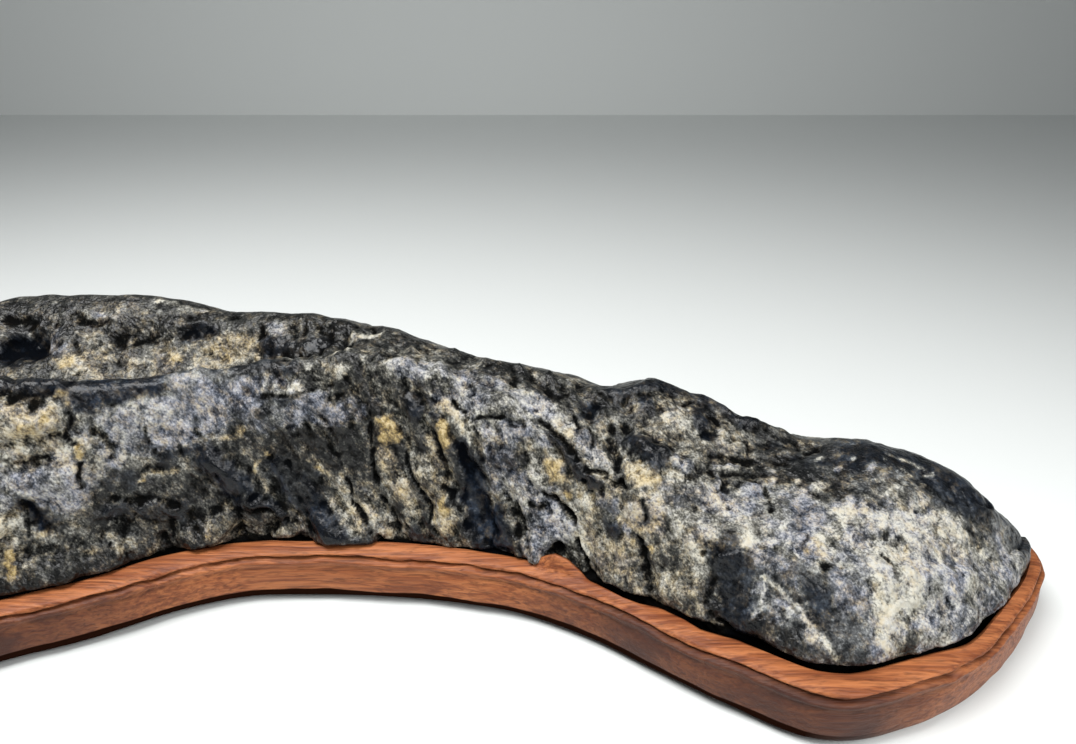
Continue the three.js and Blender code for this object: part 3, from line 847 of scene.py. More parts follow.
CENTRE = (
    # the tall blue-black facet and its lobes
    (SWELL, GLOSS, 2.2, 0.7, ((36.6, 2.25), (37.6, 1.7))),
    (SWELL, GLOSS, 1.6, 0.6, ((33.6, 1.5), (34.4, 1.15))),
    (CREASE, BARE, 0.63, -0.72, ((35.4, 2.0), (36, 1.2))),
    # the pale upper face
    (SWELL, GREY, 3.4, 0.5, ((33.6, 4.4), (39, 4.7)), 0.5),
    (CREASE, BARE, 0.56, -0.57, ((33.4, 3.92), (37, 4.0), (41, 4.18))),
    (CREASE, BARE, 0.63, -1.0, ((38.6, 3.96), (41, 4.08))),
    (SWELL, CREAM, 1.1, 0.3, ((38, 3.76),), 0.8),
    (SWELL, TAN, 1.2, 0.3, ((36, 3.45),), 0.8),
    (SWELL, GREY, 1.8, 0.4, ((34.6, 3.1),), 0.8),
    (SWELL, LILAC, 2.2, 0.8, ((37.6, 3.2),), 0.8),
    (SWELL, CREAM, 2.0, 0.4, ((39.4, 2.86), (40, 2.6)), 0.7),
    (SWELL, OCHRE, 1.6, 0.3, ((45, 3.55), (46, 3.3)), 0.55),
    (SWELL, LILAC, 2.0, 0.3, ((38.5, 3.9), (41, 3.95), (43.5, 3.9)), 0.7),
    (SWELL, CREAM, 1.5, 0.3, ((42, 3.3), (43, 3.0)), 0.8),
    (SWELL, OCHRE, 1.2, 0.3, ((48, 3.15),), 0.6),
    # the fin that ends on a knob
    (SWELL, GREY, 3.0, 1.3, ((42, 2.55), (43.4, 2.15), (44.4, 1.65)), 0.4),
    (CREASE, BARE, 0.56, -0.86, ((41.6, 2.62), (43.6, 2.6))),
    (CREASE, BARE, 0.63, -0.94, ((44, 2.86), (46, 2.82))),
    (SWELL, TAN, 1.3, 0.9, ((42.4, 1.42),), 0.6),
    (SWELL, BARE, 1.6, -0.8, ((46, 1.95), (45.6, 1.6)), 0.8),
    (SWELL, LILAC, 1.5, 0.5, ((47.6, 2.45),), 0.8),
    (CREASE, BARE, 0.91, -1.57, ((45.8, 2.86), (47.8, 2.6), (48.8, 2.2), (51, 1.4))),
    (SWELL, CREAM, 0.7, 0.4, ((48.4, 2.75), (50, 2.2), (52, 1.6)), 0.8),
    (CREASE, BARE, 0.84, -0.86, ((39.4, 2.3), (40, 1.6))),
    # the twisted fold, the crevice behind it and the pale channel
    (SWELL, GLOSS, 1.5, 1.1, ((45, 4.2), (47.6, 3.95), (49.8, 3.7), (52.4, 3.6)), 0.9),
    (CREASE, BARE, 1.05, -1.5, ((44, 4.5), (46.5, 4.38), (48.5, 4.15), (50.5, 3.85), (56, 4.02))),
    (SWELL, BARE, 3.0, -0.7, ((46, 5.8),), 0.8),
    (SWELL, GREY, 2.2, -0.4, ((42, 4.95), (44.5, 5.05), (47.5, 5.1)), 0.8),
    (SWELL, CREAM, 2.0, -0.5, ((47.5, 5.05), (49.5, 4.75), (51.5, 4.35), (53.5, 4.1)), 0.75),
    (SWELL, TAN, 1.4, -0.3, ((53.5, 4.1), (56, 3.95)), 0.7),
    (SWELL, TAN, 1.0, 0.0, ((46, 5.0), (48.6, 4.7)), 0.5),
    (CREASE, BARE, 0.45, -0.57, ((48.6, 5.42), (49.6, 5.15))),
    (CREASE, BARE, 0.45, -0.57, ((51, 5.35), (52, 4.95))),
    (SWELL, GREY, 1.5, 0.6, ((50, 5.1), (53.4, 4.3)), 0.6),
    (SWELL, NAVY, 3.7, -0.8, ((31.2, 3.15), (32.2, 2.6), (33.8, 1.9), (35.4, 1.5))),
    (LEDGE, BARE, 1.5, 0.8, ((31.2, 1.7), (30.2, 2.4), (29.8, 3.2)), 0.6),
)
HUMP = (
    (SWELL, GLOSS, 2.6, -1.0, ((51, 5.75),), 0.8),
    (CREASE, BARE, 1.12, -1.32, ((55, 5.7), (54.6, 5.25), (55, 4.6), (56.4, 4.2))),
    (SWELL, GLOSS, 3.1, 2.0, ((58.6, 5.56), (61, 5.5)), 0.9),
    (SWELL, OCHRE, 2.2, 0.5, ((57.6, 5.02), (60.4, 5.12)), 0.35),
    (SWELL, LILAC, 1.9, 1.1, ((63.6, 5.56),), 0.8),
    (SWELL, TAN, 1.5, 0.5, ((63.6, 5.32),), 0.7),
    (SWELL, GREY, 1.8, 0.9, ((66.6, 5.66),), 0.8),
    (BOWL, BARE, 1.3, -0.2, ((65, 6.06),), 0.6),
    (BOWL, BARE, 1.1, -0.2, ((69, 6.0),), 0.6),
    (SWELL, GLOSS, 2.6, 1.0, ((69, 6.52),), 0.9),
    (CREASE, BARE, 0.7, -0.66, ((66.6, 6.6), (68.4, 6.78), (71, 6.76), (72.6, 6.6))),
    (SWELL, GLOSS, 2.6, 0.7, ((60.6, 6.35),), 0.8),
    (SWELL, BARE, 2.2, -0.8, ((58, 5.9),), 0.9),
    (SWELL, CREAM, 2.0, 0.3, ((64, 6.3), (66, 6.38)), 0.8),
    (SWELL, CREAM, 1.9, 0.4, ((73.4, 6.42),), 0.6),
    (SWELL, CREAM, 1.5, 0.4, ((76, 6.42),), 0.6),
    (SWELL, BARE, 4.5, 1.4, ((80, 7.05), (83, 7.12)), 0.8),
    (SWELL, BARE, 2.6, -0.8, ((87.4, 6.95),), 0.8),
    (CREASE, BARE, 0.63, -0.61, ((77, 6.55), (77.4, 6.35))),
    (SWELL, NAVY, 1.7, -0.4, ((70.6, 6.34),), 0.8),
    (BOWL, BARE, 1.2, -0.2, ((81.4, 6.95),), 0.6),
    (BOWL, BARE, 1.4, -0.2, ((80.4, 6.6),), 0.6),
    (BOWL, BARE, 0.9, -0.15, ((79, 6.36),), 0.6),
    (SWELL, GLOSS, 2.4, 0.8, ((55.6, 6.8), (62, 6.95), (70, 6.98), (78, 6.95)), 0.8),
    (CREASE, BARE, 0.91, -0.88, ((53.4, 6.6), (54.4, 6.95), (54.6, 7.3))),
    (CREASE, BARE, 0.8, -0.25, ((70.4, 6.0), (75, 6.24), (82, 6.36), (85, 6.6), (87.6, 6.9)), 0.6),
    (LEDGE, BARE, 2.4, 0.35, ((70.4, 6.05), (75, 6.3), (82, 6.42), (85, 6.66), (87.6, 6.95)), 0.4),
    # the saddle, with its small whorls
    (SWELL, GREY, 1.2, 1.0, ((70.6, 5.66), (72, 5.86), (75.4, 6.1)), 0.7),
    (BOWL, GLOSS, 1.61, -0.37, ((72.6, 5.66),), 0.6),
    (SWELL, LILAC, 1.2, 0.7, ((74.4, 5.7), (76.4, 5.75)), 0.8),
    (CREASE, BARE, 0.63, -0.66, ((78, 5.85), (77.6, 5.5))),
    (BOWL, BARE, 0.77, -0.31, ((71.6, 5.32),), 0.6),
    (SWELL, CREAM, 1.7, 0.2, ((69.6, 5.34),), 0.9),
    (SWELL, BARE, 1.8, -0.5, ((77, 6.06),)),
    (SWELL, BARE, 1.5, -0.4, ((81, 6.1),)),
    (BOWL, BARE, 0.85, -0.22, ((63, 4.7),), 0.6),
    (BOWL, BARE, 0.77, -0.22, ((66.4, 5.0),), 0.6),
    # the narrow face under the saddle
    (SWELL, CREAM, 1.9, 0.4, ((51, 3.05),), 0.8),
    (SWELL, LILAC, 2.0, 0.6, ((54.4, 3.3),), 0.8),
    (SWELL, CREAM, 1.9, 0.4, ((57.4, 3.5),), 0.8),
    (SWELL, GLOSS, 1.9, 0.9, ((54.4, 2.82),), 0.9),
    (SWELL, LILAC, 1.4, 0.6, ((56.6, 3.0),), 0.8),
    (SWELL, TAN, 2.6, 0.5, ((56, 2.5),), 0.6),
    (SWELL, OCHRE, 1.2, 0.3, ((60, 2.9),), 0.8),
    (CREASE, BARE, 0.56, -0.55, ((59, 4.05), (59.6, 3.5))),
    (CREASE, BARE, 0.98, -0.99, ((58.8, 3.0), (59.6, 2.5), (60.4, 1.3))),
    (SWELL, TAN, 3.0, 0.6, ((63.6, 2.2),), 0.5),
    (SWELL, CREAM, 2.0, 0.3, ((67, 3.0), (66, 3.4)), 0.8),
    (SWELL, CREAM, 0.8, 0.2, ((65.4, 3.66), (66, 3.3)), 0.7),
    (BOWL, BARE, 0.94, -0.28, ((67.4, 3.36),), 0.6),
    (SWELL, NAVY, 3.8, 0.4, ((72.4, 3.3), (72.4, 2.6), (72.6, 1.7)), 0.65),
    (LEDGE, NONE, 2.6, 0.5, ((75.4, 3.9), (72.4, 3.86), (69.4, 3.3))),
    (CREASE, BARE, 0.8, -0.35, ((69, 3.3), (68.6, 2.4), (69.6, 1.4)), 0.6),
    (SWELL, CREAM, 1.2, 0.2, ((73, 4.28),), 0.9),
    (SWELL, BARE, 1.2, -1.2, ((70.6, 1.5),)),
)
HEAD = (
    # the glossy top, and its lower edge
    (LEDGE, NONE, 3.4, 0.4, ((114.5, 6.1), (110, 6.02), (105.6, 6.05), (103, 6.22), (92.6, 5.95))),
    (SWELL, NONE, 9.0, 1.7, ((97, 7.0), (104, 7.1), (109, 7.0))),
    (CREASE, BARE, 0.56, -0.2, ((92.6, 5.93), (98.4, 6.12), (104, 6.2), (105.6, 6.0), (111.4, 6.0)), 0.5),
    (SWELL, CREAM, 0.5, 0.0, ((98.6, 6.85), (101, 6.8)), 0.7),
    (SWELL, CREAM, 0.6, 0.0, ((101.6, 6.8), (103.6, 6.7)), 0.7),
    (SWELL, CREAM, 0.5, 0.0, ((100.4, 6.5), (101, 6.4)), 0.7),
    (SWELL, CREAM, 0.5, 0.0, ((103.4, 6.5), (105, 6.6)), 0.7),
    (SWELL, CREAM, 0.6, 0.0, ((108, 7.1), (111.4, 7.3)), 0.7),
    (SWELL, CREAM, 1.7, 0.5, ((86, 6.0),), 0.95),
    (CREASE, BARE, 0.56, -0.25, ((84.4, 5.88), (87.4, 5.88)), 0.6),
    (SWELL, LILAC, 1.8, 0.5, ((84, 5.6),), 0.8),
    (SWELL, CREAM, 0.9, 0.3, ((79.4, 6.16),), 0.9),
    (SWELL, CREAM, 0.9, 0.3, ((79.4, 6.0),), 0.9),
    (SWELL, CREAM, 0.9, 0.3, ((83, 6.14),), 0.9),
    # the broad pale front with its pits
    (SWELL, CREAM, 2.6, 0.2, ((101.6, 5.2),), 0.9),
    (BOWL, TAN, 0.85, -0.28, ((98, 5.36),), 0.54),
    (BOWL, BARE, 0.8, -0.14, ((102.4, 5.46),), 0.5),
    (BOWL, BARE, 1.0, -0.14, ((109.4, 5.5),), 0.5),
    (BOWL, OCHRE, 0.77, -0.22, ((96.4, 5.1),), 0.6),
    (BOWL, BARE, 0.8, -0.12, ((95, 2.75),), 0.5),
    (BOWL, BARE, 0.68, -0.18, ((93.6, 5.3),), 0.54),
    (BOWL, BARE, 0.68, -0.18, ((104, 4.6),), 0.54),
    (CREASE, BARE, 0.9, -0.4, ((92.6, 5.0), (92.8, 4.4), (92.6, 3.6)), 0.8),
    (SWELL, TAN, 1.6, 0.2, ((83.6, 5.1),), 0.6),
    (SWELL, CREAM, 1.5, 0.3, ((96.4, 4.8), (95.8, 3.4)), 0.9),
    (SWELL, CREAM, 1.7, 0.3, ((90, 3.7), (90, 3.2)), 0.8),
    (SWELL, CREAM, 1.5, 0.2, ((91.6, 3.25), (91.6, 2.2)), 0.8),
    # pale veins on the dark cheek
    (SWELL, NAVY, 5.0, 0.2, ((80, 3.4), (82, 2.6), (86, 2.4)), 0.35),
    (SWELL, CREAM, 0.55, 0.15, ((76, 3.55), (78, 3.15), (80, 2.85), (82, 2.45), (85.4, 1.45)), 0.9),
    (SWELL, GREY, 0.5, 0.1, ((76, 3.15), (74, 2.1)), 0.7),
    (SWELL, GREY, 0.5, 0.1, ((77, 2.95), (80, 2.65)), 0.7),
    (SWELL, GREY, 0.5, 0.1, ((79.4, 3.7), (81.4, 2.85)), 0.6),
    (SWELL, CREAM, 0.9, 0.2, ((81, 2.45), (82, 2.25)), 0.6),
    (SWELL, BARE, 5.0, -0.8, ((85, 6.95), (89, 6.95)), 0.5),
    (SWELL, GLOSS, 2.4, 0.3, ((82.6, 3.25),), 0.7),
    (SWELL, BARE, 1.4, -0.5, ((83.6, 4.45),), 0.9),
    # the tip
    (LEDGE, NONE, 3.0, 0.5, ((119, 3.2), (119.6, 4.6), (120.4, 6.0), (120.6, 7.0))),
    # grey flecks on its glossy top
    (SWELL, GREY, 0.8, 0.1, ((89.5, 6.35), (90.2, 6.45)), 0.8),
    (SWELL, GREY, 0.7, 0.1, ((92.6, 6.6),), 0.8),
    (SWELL, GREY, 0.8, 0.1, ((94.6, 6.4), (95.4, 6.5)), 0.8),
    (SWELL, GREY, 0.6, 0.1, ((98, 6.72),), 0.8),
    (SWELL, GREY, 0.6, 0.1, ((87.5, 6.6), (88.6, 6.7)), 0.8),
)
BEHIND = (
    # folds and hollows on the back
    (CREASE, BARE, 1.6, -0.9, ((-66, 7.6), (-62, 8.4), (-60, 9.2)), 0.9),
    (CREASE, BARE, 1.6, -0.8, ((-28, 7.6), (-24, 8.4), (-23, 9.3)), 0.9),
    (LEDGE, NONE, 4.0, 1.0, ((12, 7.7), (16, 8.4), (17, 9.2))),
    (CREASE, BARE, 1.5, -0.9, ((40, 7.7), (44, 8.5), (45, 9.2)), 0.9),
    (CREASE, BARE, 1.5, -0.8, ((86, 7.8), (89, 8.5), (90, 9.2)), 0.8),
    (SWELL, GLOSS, 7.0, 1.4, ((-90, 8.2), (-80, 8.4)), 0.5),
    (SWELL, NONE, 8.0, -1.4, ((-45, 8.5), (-38, 8.8))),
    (SWELL, GREY, 6.0, 1.2, ((28, 8.3), (34, 8.6)), 0.5),
    (SWELL, BARE, 6.0, -1.2, ((62, 8.2), (66, 8.6)), 0.6),
    # the left end
    (SWELL, TAN, 6.0, 1.2, ((-96, 3.6), (-90, 3.2)), 0.6),
    (CREASE, BARE, 1.6, -0.8, ((-86, 4.6), (-83, 3.6), (-82, 2.6)), 0.9),
    (SWELL, GLOSS, 4.0, -1.2, ((-70, 6.3), (-64, 6.4)), 0.8),
    (CREASE, BARE, 1.6, -0.8, ((-68, 4.5), (-66, 3.6), (-67, 2.4)), 0.9),
    (SWELL, NONE, 6.0, 1.2, ((-76, 2.4), (-70, 2.2))),
    (SWELL, BARE, 5.0, -1.0, ((-104, 6.2), (-98, 6.1)), 0.7),
)
MARKS = (
    *(Mark(SWELL, tint, width, 0.0, path, strength) for tint, width, strength, path in WASHES),
    *(Mark(*row) for row in (*LEFT, *MIDDLE, *CENTRE, *HUMP, *HEAD, *BEHIND)),
)


@dataclass(frozen=True)
class Weathering:
    """How water and time roughened the stone, as noises whose sizes and heights are in millimetres.

    A start moves a pattern through the noise, so that no pattern repeats another.
    """

    seed: int = 11
    wear: float = 0.3  # taken off everywhere
    lump_size: float = 13.0
    lump_height: float = 0.8
    knob_size: float = 4.2
    knob_height: float = 0.34
    knob_start: float = 5.0
    smoothing: float = 0.72  # how much of its roughness the polished stone has lost
    rubbed: Quad = (6.6, 6.95, 7.3, 8.0)  # girths that hands rub smooth too
    strata_size: Triple = (26.0, 4.2, 12.0)  # along the layers, across them, into the stone
    strata_lean: float = 27.0  # degrees from upright
    strata_height: float = 0.95
    strata_zone: Quad = (-20.0, 8.0, 46.0, 68.0)  # the x where the strata show
    strata_least: float = 0.15
    strata_contrast: float = 0.3  # how much barer the layers' edges are rubbed
    grain_size: float = 1.1
    grain_height: float = 0.12
    grain_start: float = 9.0
    grain_bare: float = 0.5  # the grain's share where there is no crust
    stray_size: float = 2.6  # of the noise that sets nodules and pits out of line
    stray_starts: Triple = (0.0, 11.0, 22.0)
    nodules: Path = ((3.4, 0.3), (1.7, 0.18))  # their size, and their height
    nodule_stretch: Triple = (1.8, 0.8, 1.0)  # among the strata
    nodule_stray: float = 0.6
    nodule_start: float = 7.0  # for each millimetre of size
    nodule_least: float = 0.1  # what stands up of the lowest nodule, and how much more of the highest
    nodule_spread: float = 0.3
    middle_number: float = 0.5  # of a cell's own numbers
    pits: Path = ((3.1, 0.07), (1.6, 0.11))  # their size, and their depth
    pit_stray: float = 0.4
    pit_start: float = 3.0  # for each millimetre of size
    pit_radius: float = 0.45  # as a share of the size
    pit_rarity: float = 0.7  # the share of places where there is none
    pit_crust: Pair = (-0.1, 0.5)  # the crust over which they come in
    recess: Pair = (6.0, 8.0)  # the skin is smooth below the first height, and free above the second
    over_rim: Pair = (9.72, 10.3)  # between these heights lumps may begin to stand out over the rim
    recess_clear: float = 0.35
    recess_shade_line: Pair = (9.8, 9.2)  # the heights between which painted shade thickens on the foot down in the recess
    painted_shade_amount: float = 0.8  # the painted shade there is as dark as a crevice's painted shade so many millimetres deep
    most_outward: float = 3.4

    def along_strata(self, points: np.ndarray) -> np.ndarray:
        """Turns places to run along the layers, across them and into the stone.

        Args:
            points: the places (x, y, z), (n, 3).

        Returns:
            The places turned by the lean, (n, 3).
        """
        x, y, z = points.T
        lean = math.radians(self.strata_lean)
        along = x * math.sin(lean) - z * math.cos(lean)
        across = x * math.cos(lean) + z * math.sin(lean)
        return np.stack([along, across, y], axis=1)

    def roughen(self, skin: Skin) -> None:
        """Adds lumps, knobs, strata, grain, nodules and pits, less of each where the skin is polished.

        Args:
            skin: the skin, with all its marks.
        """
        noise = Noise(self.seed)
        points = skin.points
        polish = skin.layers[:, LAYERS.index("polish")]
        crust = skin.layers[:, LAYERS.index("crust")]
        rubbed = within(self.rubbed, skin.girth)
        rough = (1.0 - self.smoothing * polish) * (1.0 - self.smoothing * rubbed)
        skin.relief += self.lump_height * noise.fractal(points / self.lump_size, octaves=2) - self.wear
        knobs = noise.fractal(points / self.knob_size + self.knob_start, octaves=3)
        skin.relief += self.knob_height * rough * knobs
        turned = self.along_strata(points)
        zone = within(self.strata_zone, points[:, 0])
        layered = noise.ridges(turned / np.array(self.strata_size), octaves=2)
        skin.relief += self.strata_height * blend(self.strata_least, 1.0, zone) * rough * layered
        crust -= self.strata_contrast * zone * layered
        grain = noise.fractal(points / self.grain_size + self.grain_start, octaves=2)
        skin.relief += self.grain_height * rough * (self.grain_bare + crust) * grain
        strays = [noise.smooth(points / self.stray_size + start) for start in self.stray_starts]
        stray = np.stack(strays, axis=1)
        for size, height in self.nodules:
            drawn_out = (turned / np.array(self.nodule_stretch) + self.nodule_stray * stray) / size
            round_ones = (points + self.nodule_stray * stray) / size
            for places, part in ((drawn_out, zone), (round_ones, 1.0 - zone)):
                distance, number = noise.cells(places + self.nodule_start * size)
                top = self.nodule_least + self.nodule_spread * number
                skin.relief += height * rough * part * (top - distance ** 2)
                skin.grain += part * (number - self.middle_number)
        for size, depth in self.pits:
            distance, number = noise.cells((points + self.pit_stray * stray) / size + self.pit_start * size)
            bowl = np.clip(1.0 - (distance / self.pit_radius) ** 2, 0.0, 1.0)
            there = (number > self.pit_rarity) * smoothstep(*self.pit_crust, crust)
            skin.relief -= depth * rough * bowl * there

    def hang_over(self, skin: Skin, form: StoneForm) -> None:
        """Swells the front foot into the lobes that hang out over the rim, less towards the crest."""
        strayed = skin.points + skin.wander * np.array([1.0, 0.0, 0.0])  # along the stone alone
        skin.relief += form.hang(strayed) * smoothstep(form.crest_girth, form.face_girth, skin.girth)

    def keep_clear(self, skin: Skin, form: StoneForm) -> None:
        """Holds the skin inside the recess wall, and lets it stand out only from above the rim.

        Args:
            skin: the skin, roughened.
            form: the stone's smooth form.
        """
        height = skin.points[:, 2]
        inside = form.gap(skin.points[:, 0], skin.girth < form.crest_girth) - self.recess_clear
        most = blend(inside, self.most_outward, smoothstep(*self.over_rim, height))
        skin.relief = np.minimum(skin.relief, most) * smoothstep(*self.recess, height)


@dataclass(frozen=True)
class StoneSkinGrid:
    """How the skin's points are spread: close together where the stone is seen from the front."""

    sections: int = 600
    around: int = 160
    underside: int = 4  # columns of points across it
    seen_from: Pair = (-56.0, -48.0)  # the x over which the sections close up
    hidden_share: float = 0.42  # how close they stand left of it, against the front's
    end_radius: float = 9.0  # the end faces' size, which the sections climb
    back_from: Pair = (7.3, 8.0)  # the girths over which the points of a section spread out
    back_share: float = 0.42
    buried_to: Pair = (0.7, 1.1)  # the girths over which they close up, above the recess
    buried_share: float = 0.12
    end_steps: int = 400  # how finely the ways up an end, along the stone and round a section are measured
    middle_steps: int = 4000
    round_steps: int = 331
    least_step: float = 1e-6

    def sections_at(self, form: StoneForm) -> np.ndarray:
        """Spaces the sections by the way along the stone and up its blunt ends.

        Args:
            form: the stone's smooth form.

        Returns:
            The x of each section, (sections,).
        """
        factor = np.linspace(0.0, 1.0, self.end_steps)
        inside = form.end_round * (1.0 - (1.0 - factor ** form.end_bluntness) ** (1.0 / form.end_bluntness))
        middle = np.linspace(form.left + form.end_round, form.right - form.end_round, self.middle_steps)
        x = np.concatenate([form.left + inside, middle[1:-1], (form.right - inside)[::-1]])
        climb = self.end_radius * np.diff(form.end_factor(x))
        share = blend(self.hidden_share, 1.0, smoothstep(*self.seen_from, x[1:]))
        way = np.concatenate([[0.0], np.cumsum(np.hypot(np.diff(x), climb) * share)])
        return spread_evenly(way[None], x[None], self.sections)[0]

    def girths(self, form: StoneForm, x: np.ndarray) -> np.ndarray:
        """Spaces the points of each section by the way round it.

        Args:
            form: the stone's smooth form.
            x: the sections' places, (n,).

        Returns:
            The girths, (n, around).
        """
        fine = np.linspace(0.0, form.last_girth, self.round_steps)
        fine = np.broadcast_to(fine, (len(x), self.round_steps))
        steps = np.linalg.norm(np.diff(form.surface(x, fine), axis=1), axis=2) + self.least_step
        middle = (fine[:, 1:] + fine[:, :-1]) / 2.0
        share = blend(1.0, self.back_share, smoothstep(*self.back_from, middle))
        share = share * blend(self.buried_share, 1.0, smoothstep(*self.buried_to, middle))
        way = np.concatenate([np.zeros((len(x), 1)), np.cumsum(steps * share, axis=1)], axis=1)
        return spread_evenly(way, fine, self.around)


# ---------------------------------------------------------------- materials

def linear(colour: str) -> Quad:
    """Turns an sRGB hex colour, such as #a16a47, to linear light, by the numbers of that standard's curve.

    Args:
        colour: the hex colour.

    Returns:
        Linear red, green, blue and alpha.
    """
    parts = [int(colour[i:i + 2], 16) / 255.0 for i in (1, 3, 5)]
    red, green, blue = [p / 12.92 if p <= 0.04045 else ((p + 0.055) / 1.055) ** 2.4 for p in parts]
    return red, green, blue, 1.0


def per(millimetres: float) -> float:
    """The noise scale, in cycles a metre, of a pattern that repeats every so many millimetres."""
    return 1.0 / (millimetres * METRES)


def add_node(
    tree: bpy.types.NodeTree, kind: str, inputs: dict | tuple, output: int | str = 0, **settings: object
) -> Socket:
    """Adds one node to a material, and gives the output that is wanted of it.

    Args:
        tree: the material's node tree.
        kind: the node's type.
        inputs: a value, or an output socket to link, for each input by its name or number, or for the
            first inputs in their order.
        output: the wanted output's name or number.
        settings: the node's own properties.

    Returns:
        The output, or None from a node that has none.
    """
    node = tree.nodes.new(kind)
    for name, value in settings.items():
        setattr(node, name, value)
    for name, value in inputs.items() if isinstance(inputs, dict) else enumerate(inputs):
        if isinstance(value, bpy.types.NodeSocket):
            tree.links.new(value, node.inputs[name])
        else:
            node.inputs[name].default_value = value
    return node.outputs[output] if node.outputs else None


@dataclass(frozen=True)
class WeatheredStone:
    """River-worn limestone with a mineral crust, hand-rubbed and lightly waxed.

    The eye gets a blue-black, satin stone on everything raised, and a dull cream, lilac-grey or ochre
    crust, granular and pitted, in the hollows. One tone, from 0 to 1, says how pale each point is. It picks
    from rows of colours, each running from the darkest to the palest that its kind of skin shows.
    """

    name: str = "limestone water-worn and waxed"
    crusted: tuple[str, ...] = ("#0c0c0b", "#272724", "#5a5850", "#939188", "#c0bdb0")
    polished: tuple[str, ...] = ("#07090d", "#10151d", "#29323f", "#6c747d", "#adb0ad")
    lilac: tuple[str, ...] = ("#0f1115", "#292e38", "#5e636e", "#9496a0", "#babab8")
    rusty: tuple[str, ...] = ("#14110c", "#3a3125", "#726243", "#9f8a5a", "#bba981")
    ior: float = 1.52
    detail: float = 5.0
    mottle: Pair = (4.5, 0.65)  # millimetres between blotches of crust, and how strong finer ones are
    fleck: Pair = (1.2, 0.75)
    grit: Pair = (0.32, 0.65)  # true grit is finer; this is the finest that shows
    dimple: Pair = (1.1, 0.45)
    pebble: Pair = (1.15, 0.45)
    pebble_detail: float = 1.0
    bedding: Pair = (27.0, 1.4)  # the bedding's lean in degrees, and how far it draws the patterns out
    crystals: Path = ((2.8, 0.16), (1.05, 0.32))  # millimetres across a crystal, and its gain
    crystal_stray: float = 0.9  # how far the crystals' edges stray, in millimetres
    bare_tone: float = 0.335
    crust_gain: float = 0.78
    hollow_gain: float = 0.12  # for each millimetre below its neighbourhood
    # painted shade: the tone darkens by this much for each millimetre of painted shade depth
    crevice_gain: float = -1.5
    grain_gain: float = 0.28
    polish_gain: float = -0.08
    mottle_gain: float = 0.36
    fleck_gain: float = 0.72
    grit_gain: float = 1.7
    pebble_gain: float = -0.4
    calming: float = -0.6  # how much less varied and bumpy the polished stone is
    rust_mottle: float = 1.2
    rust_fleck: float = 1.6
    rust_shown: Quad = (0.87, 1.55, 0.0, 1.0)  # from these two values to those two
    blue_mottle: float = 3.4
    blue_polish: float = -0.8
    blue_shown: Quad = (0.2, 0.9, 0.0, 1.0)
    shine: Pair = (0.32, 0.26)  # the specular level where it is dull, and where it is polished
    # painted shade also takes the shine away, by this much a millimetre
    crevice_shine: float = -2.0
    roughness: Quad = (0.0, 1.0, 0.3, 0.52)  # from the darkest stone to the palest crust
    polish_roughness: float = -0.05
    pebble_bump: float = -0.5
    bump_height: float = 0.6

    def make(self) -> bpy.types.Material:
        """Builds the material's nodes.

        Returns:
            The material. It reads the mesh's layers crust, ochre, polish, lilac, hollow, grain, and the
            painted shade.
        """
        material = bpy.data.materials.new(self.name)
        material.use_nodes = True
        tree = material.node_tree
        tree.nodes.clear()
        place = add_node(tree, "ShaderNodeTexCoord", {}, "Object")
        crust, ochre, polish, lilac, hollow, crevice, grain = (
            add_node(tree, "ShaderNodeAttribute", {}, "Fac", attribute_name=layer)
            for layer in (*LAYERS, "hollow", "crevice", "grain")
        )
        lean, drawn_out = self.bedding
        turn = (0.0, -math.radians(lean), 0.0)
        layout = {"Vector": place, "Rotation": turn, "Scale": (1.0, 1.0, drawn_out)}
        bedded = add_node(tree, "ShaderNodeMapping", layout, vector_type="TEXTURE")
        noises = []
        for size, finer in (self.mottle, self.fleck, self.grit, self.dimple):
            settings = {"Vector": bedded, "Scale": per(size), "Detail": self.detail, "Roughness": finer}
            noises.append(add_node(tree, "ShaderNodeTexNoise", settings))
        mottle, fleck, grit, dimple = noises
        size, finer = self.pebble
        settings = {"Vector": bedded, "Scale": per(size), "Detail": self.pebble_detail, "Roughness": finer}
        pebble = add_node(tree, "ShaderNodeTexVoronoi", settings, "Distance")
        stray = (dimple.node.outputs["Color"], (self.crystal_stray * METRES,) * 3, bedded)
        strayed = add_node(tree, "ShaderNodeVectorMath", stray, operation="MULTIPLY_ADD")
        patterns = [
            (mottle, self.mottle_gain),
            (fleck, self.fleck_gain),
            (grit, self.grit_gain),
            (pebble, self.pebble_gain),
        ]
        for size, gain in self.crystals:
            settings = {"Vector": strayed, "Scale": per(size)}
            patterns.append((add_node(tree, "ShaderNodeTexVoronoi", settings, "Color"), gain))
        layers = (
            (crust, self.crust_gain),
            (hollow, self.hollow_gain),
            (crevice, self.crevice_gain),
            (grain, self.grain_gain),
            (polish, self.polish_gain),
        )
        # The tone: the patterns swing about 0, less where it is polished, and the layers move their middle,
        # painted shade darkening it.
        calm = add_node(tree, "ShaderNodeMath", (polish, self.calming, 1.0), operation="MULTIPLY_ADD")
        varied = -sum(gain for _, gain in patterns) / 2.0
        for value, gain in patterns:
            varied = add_node(tree, "ShaderNodeMath", (value, gain, varied), operation="MULTIPLY_ADD")
        tone = add_node(tree, "ShaderNodeMath", (varied, calm, self.bare_tone), operation="MULTIPLY_ADD")
        for value, gain in layers:
            tone = add_node(tree, "ShaderNodeMath", (value, gain, tone), operation="MULTIPLY_ADD")
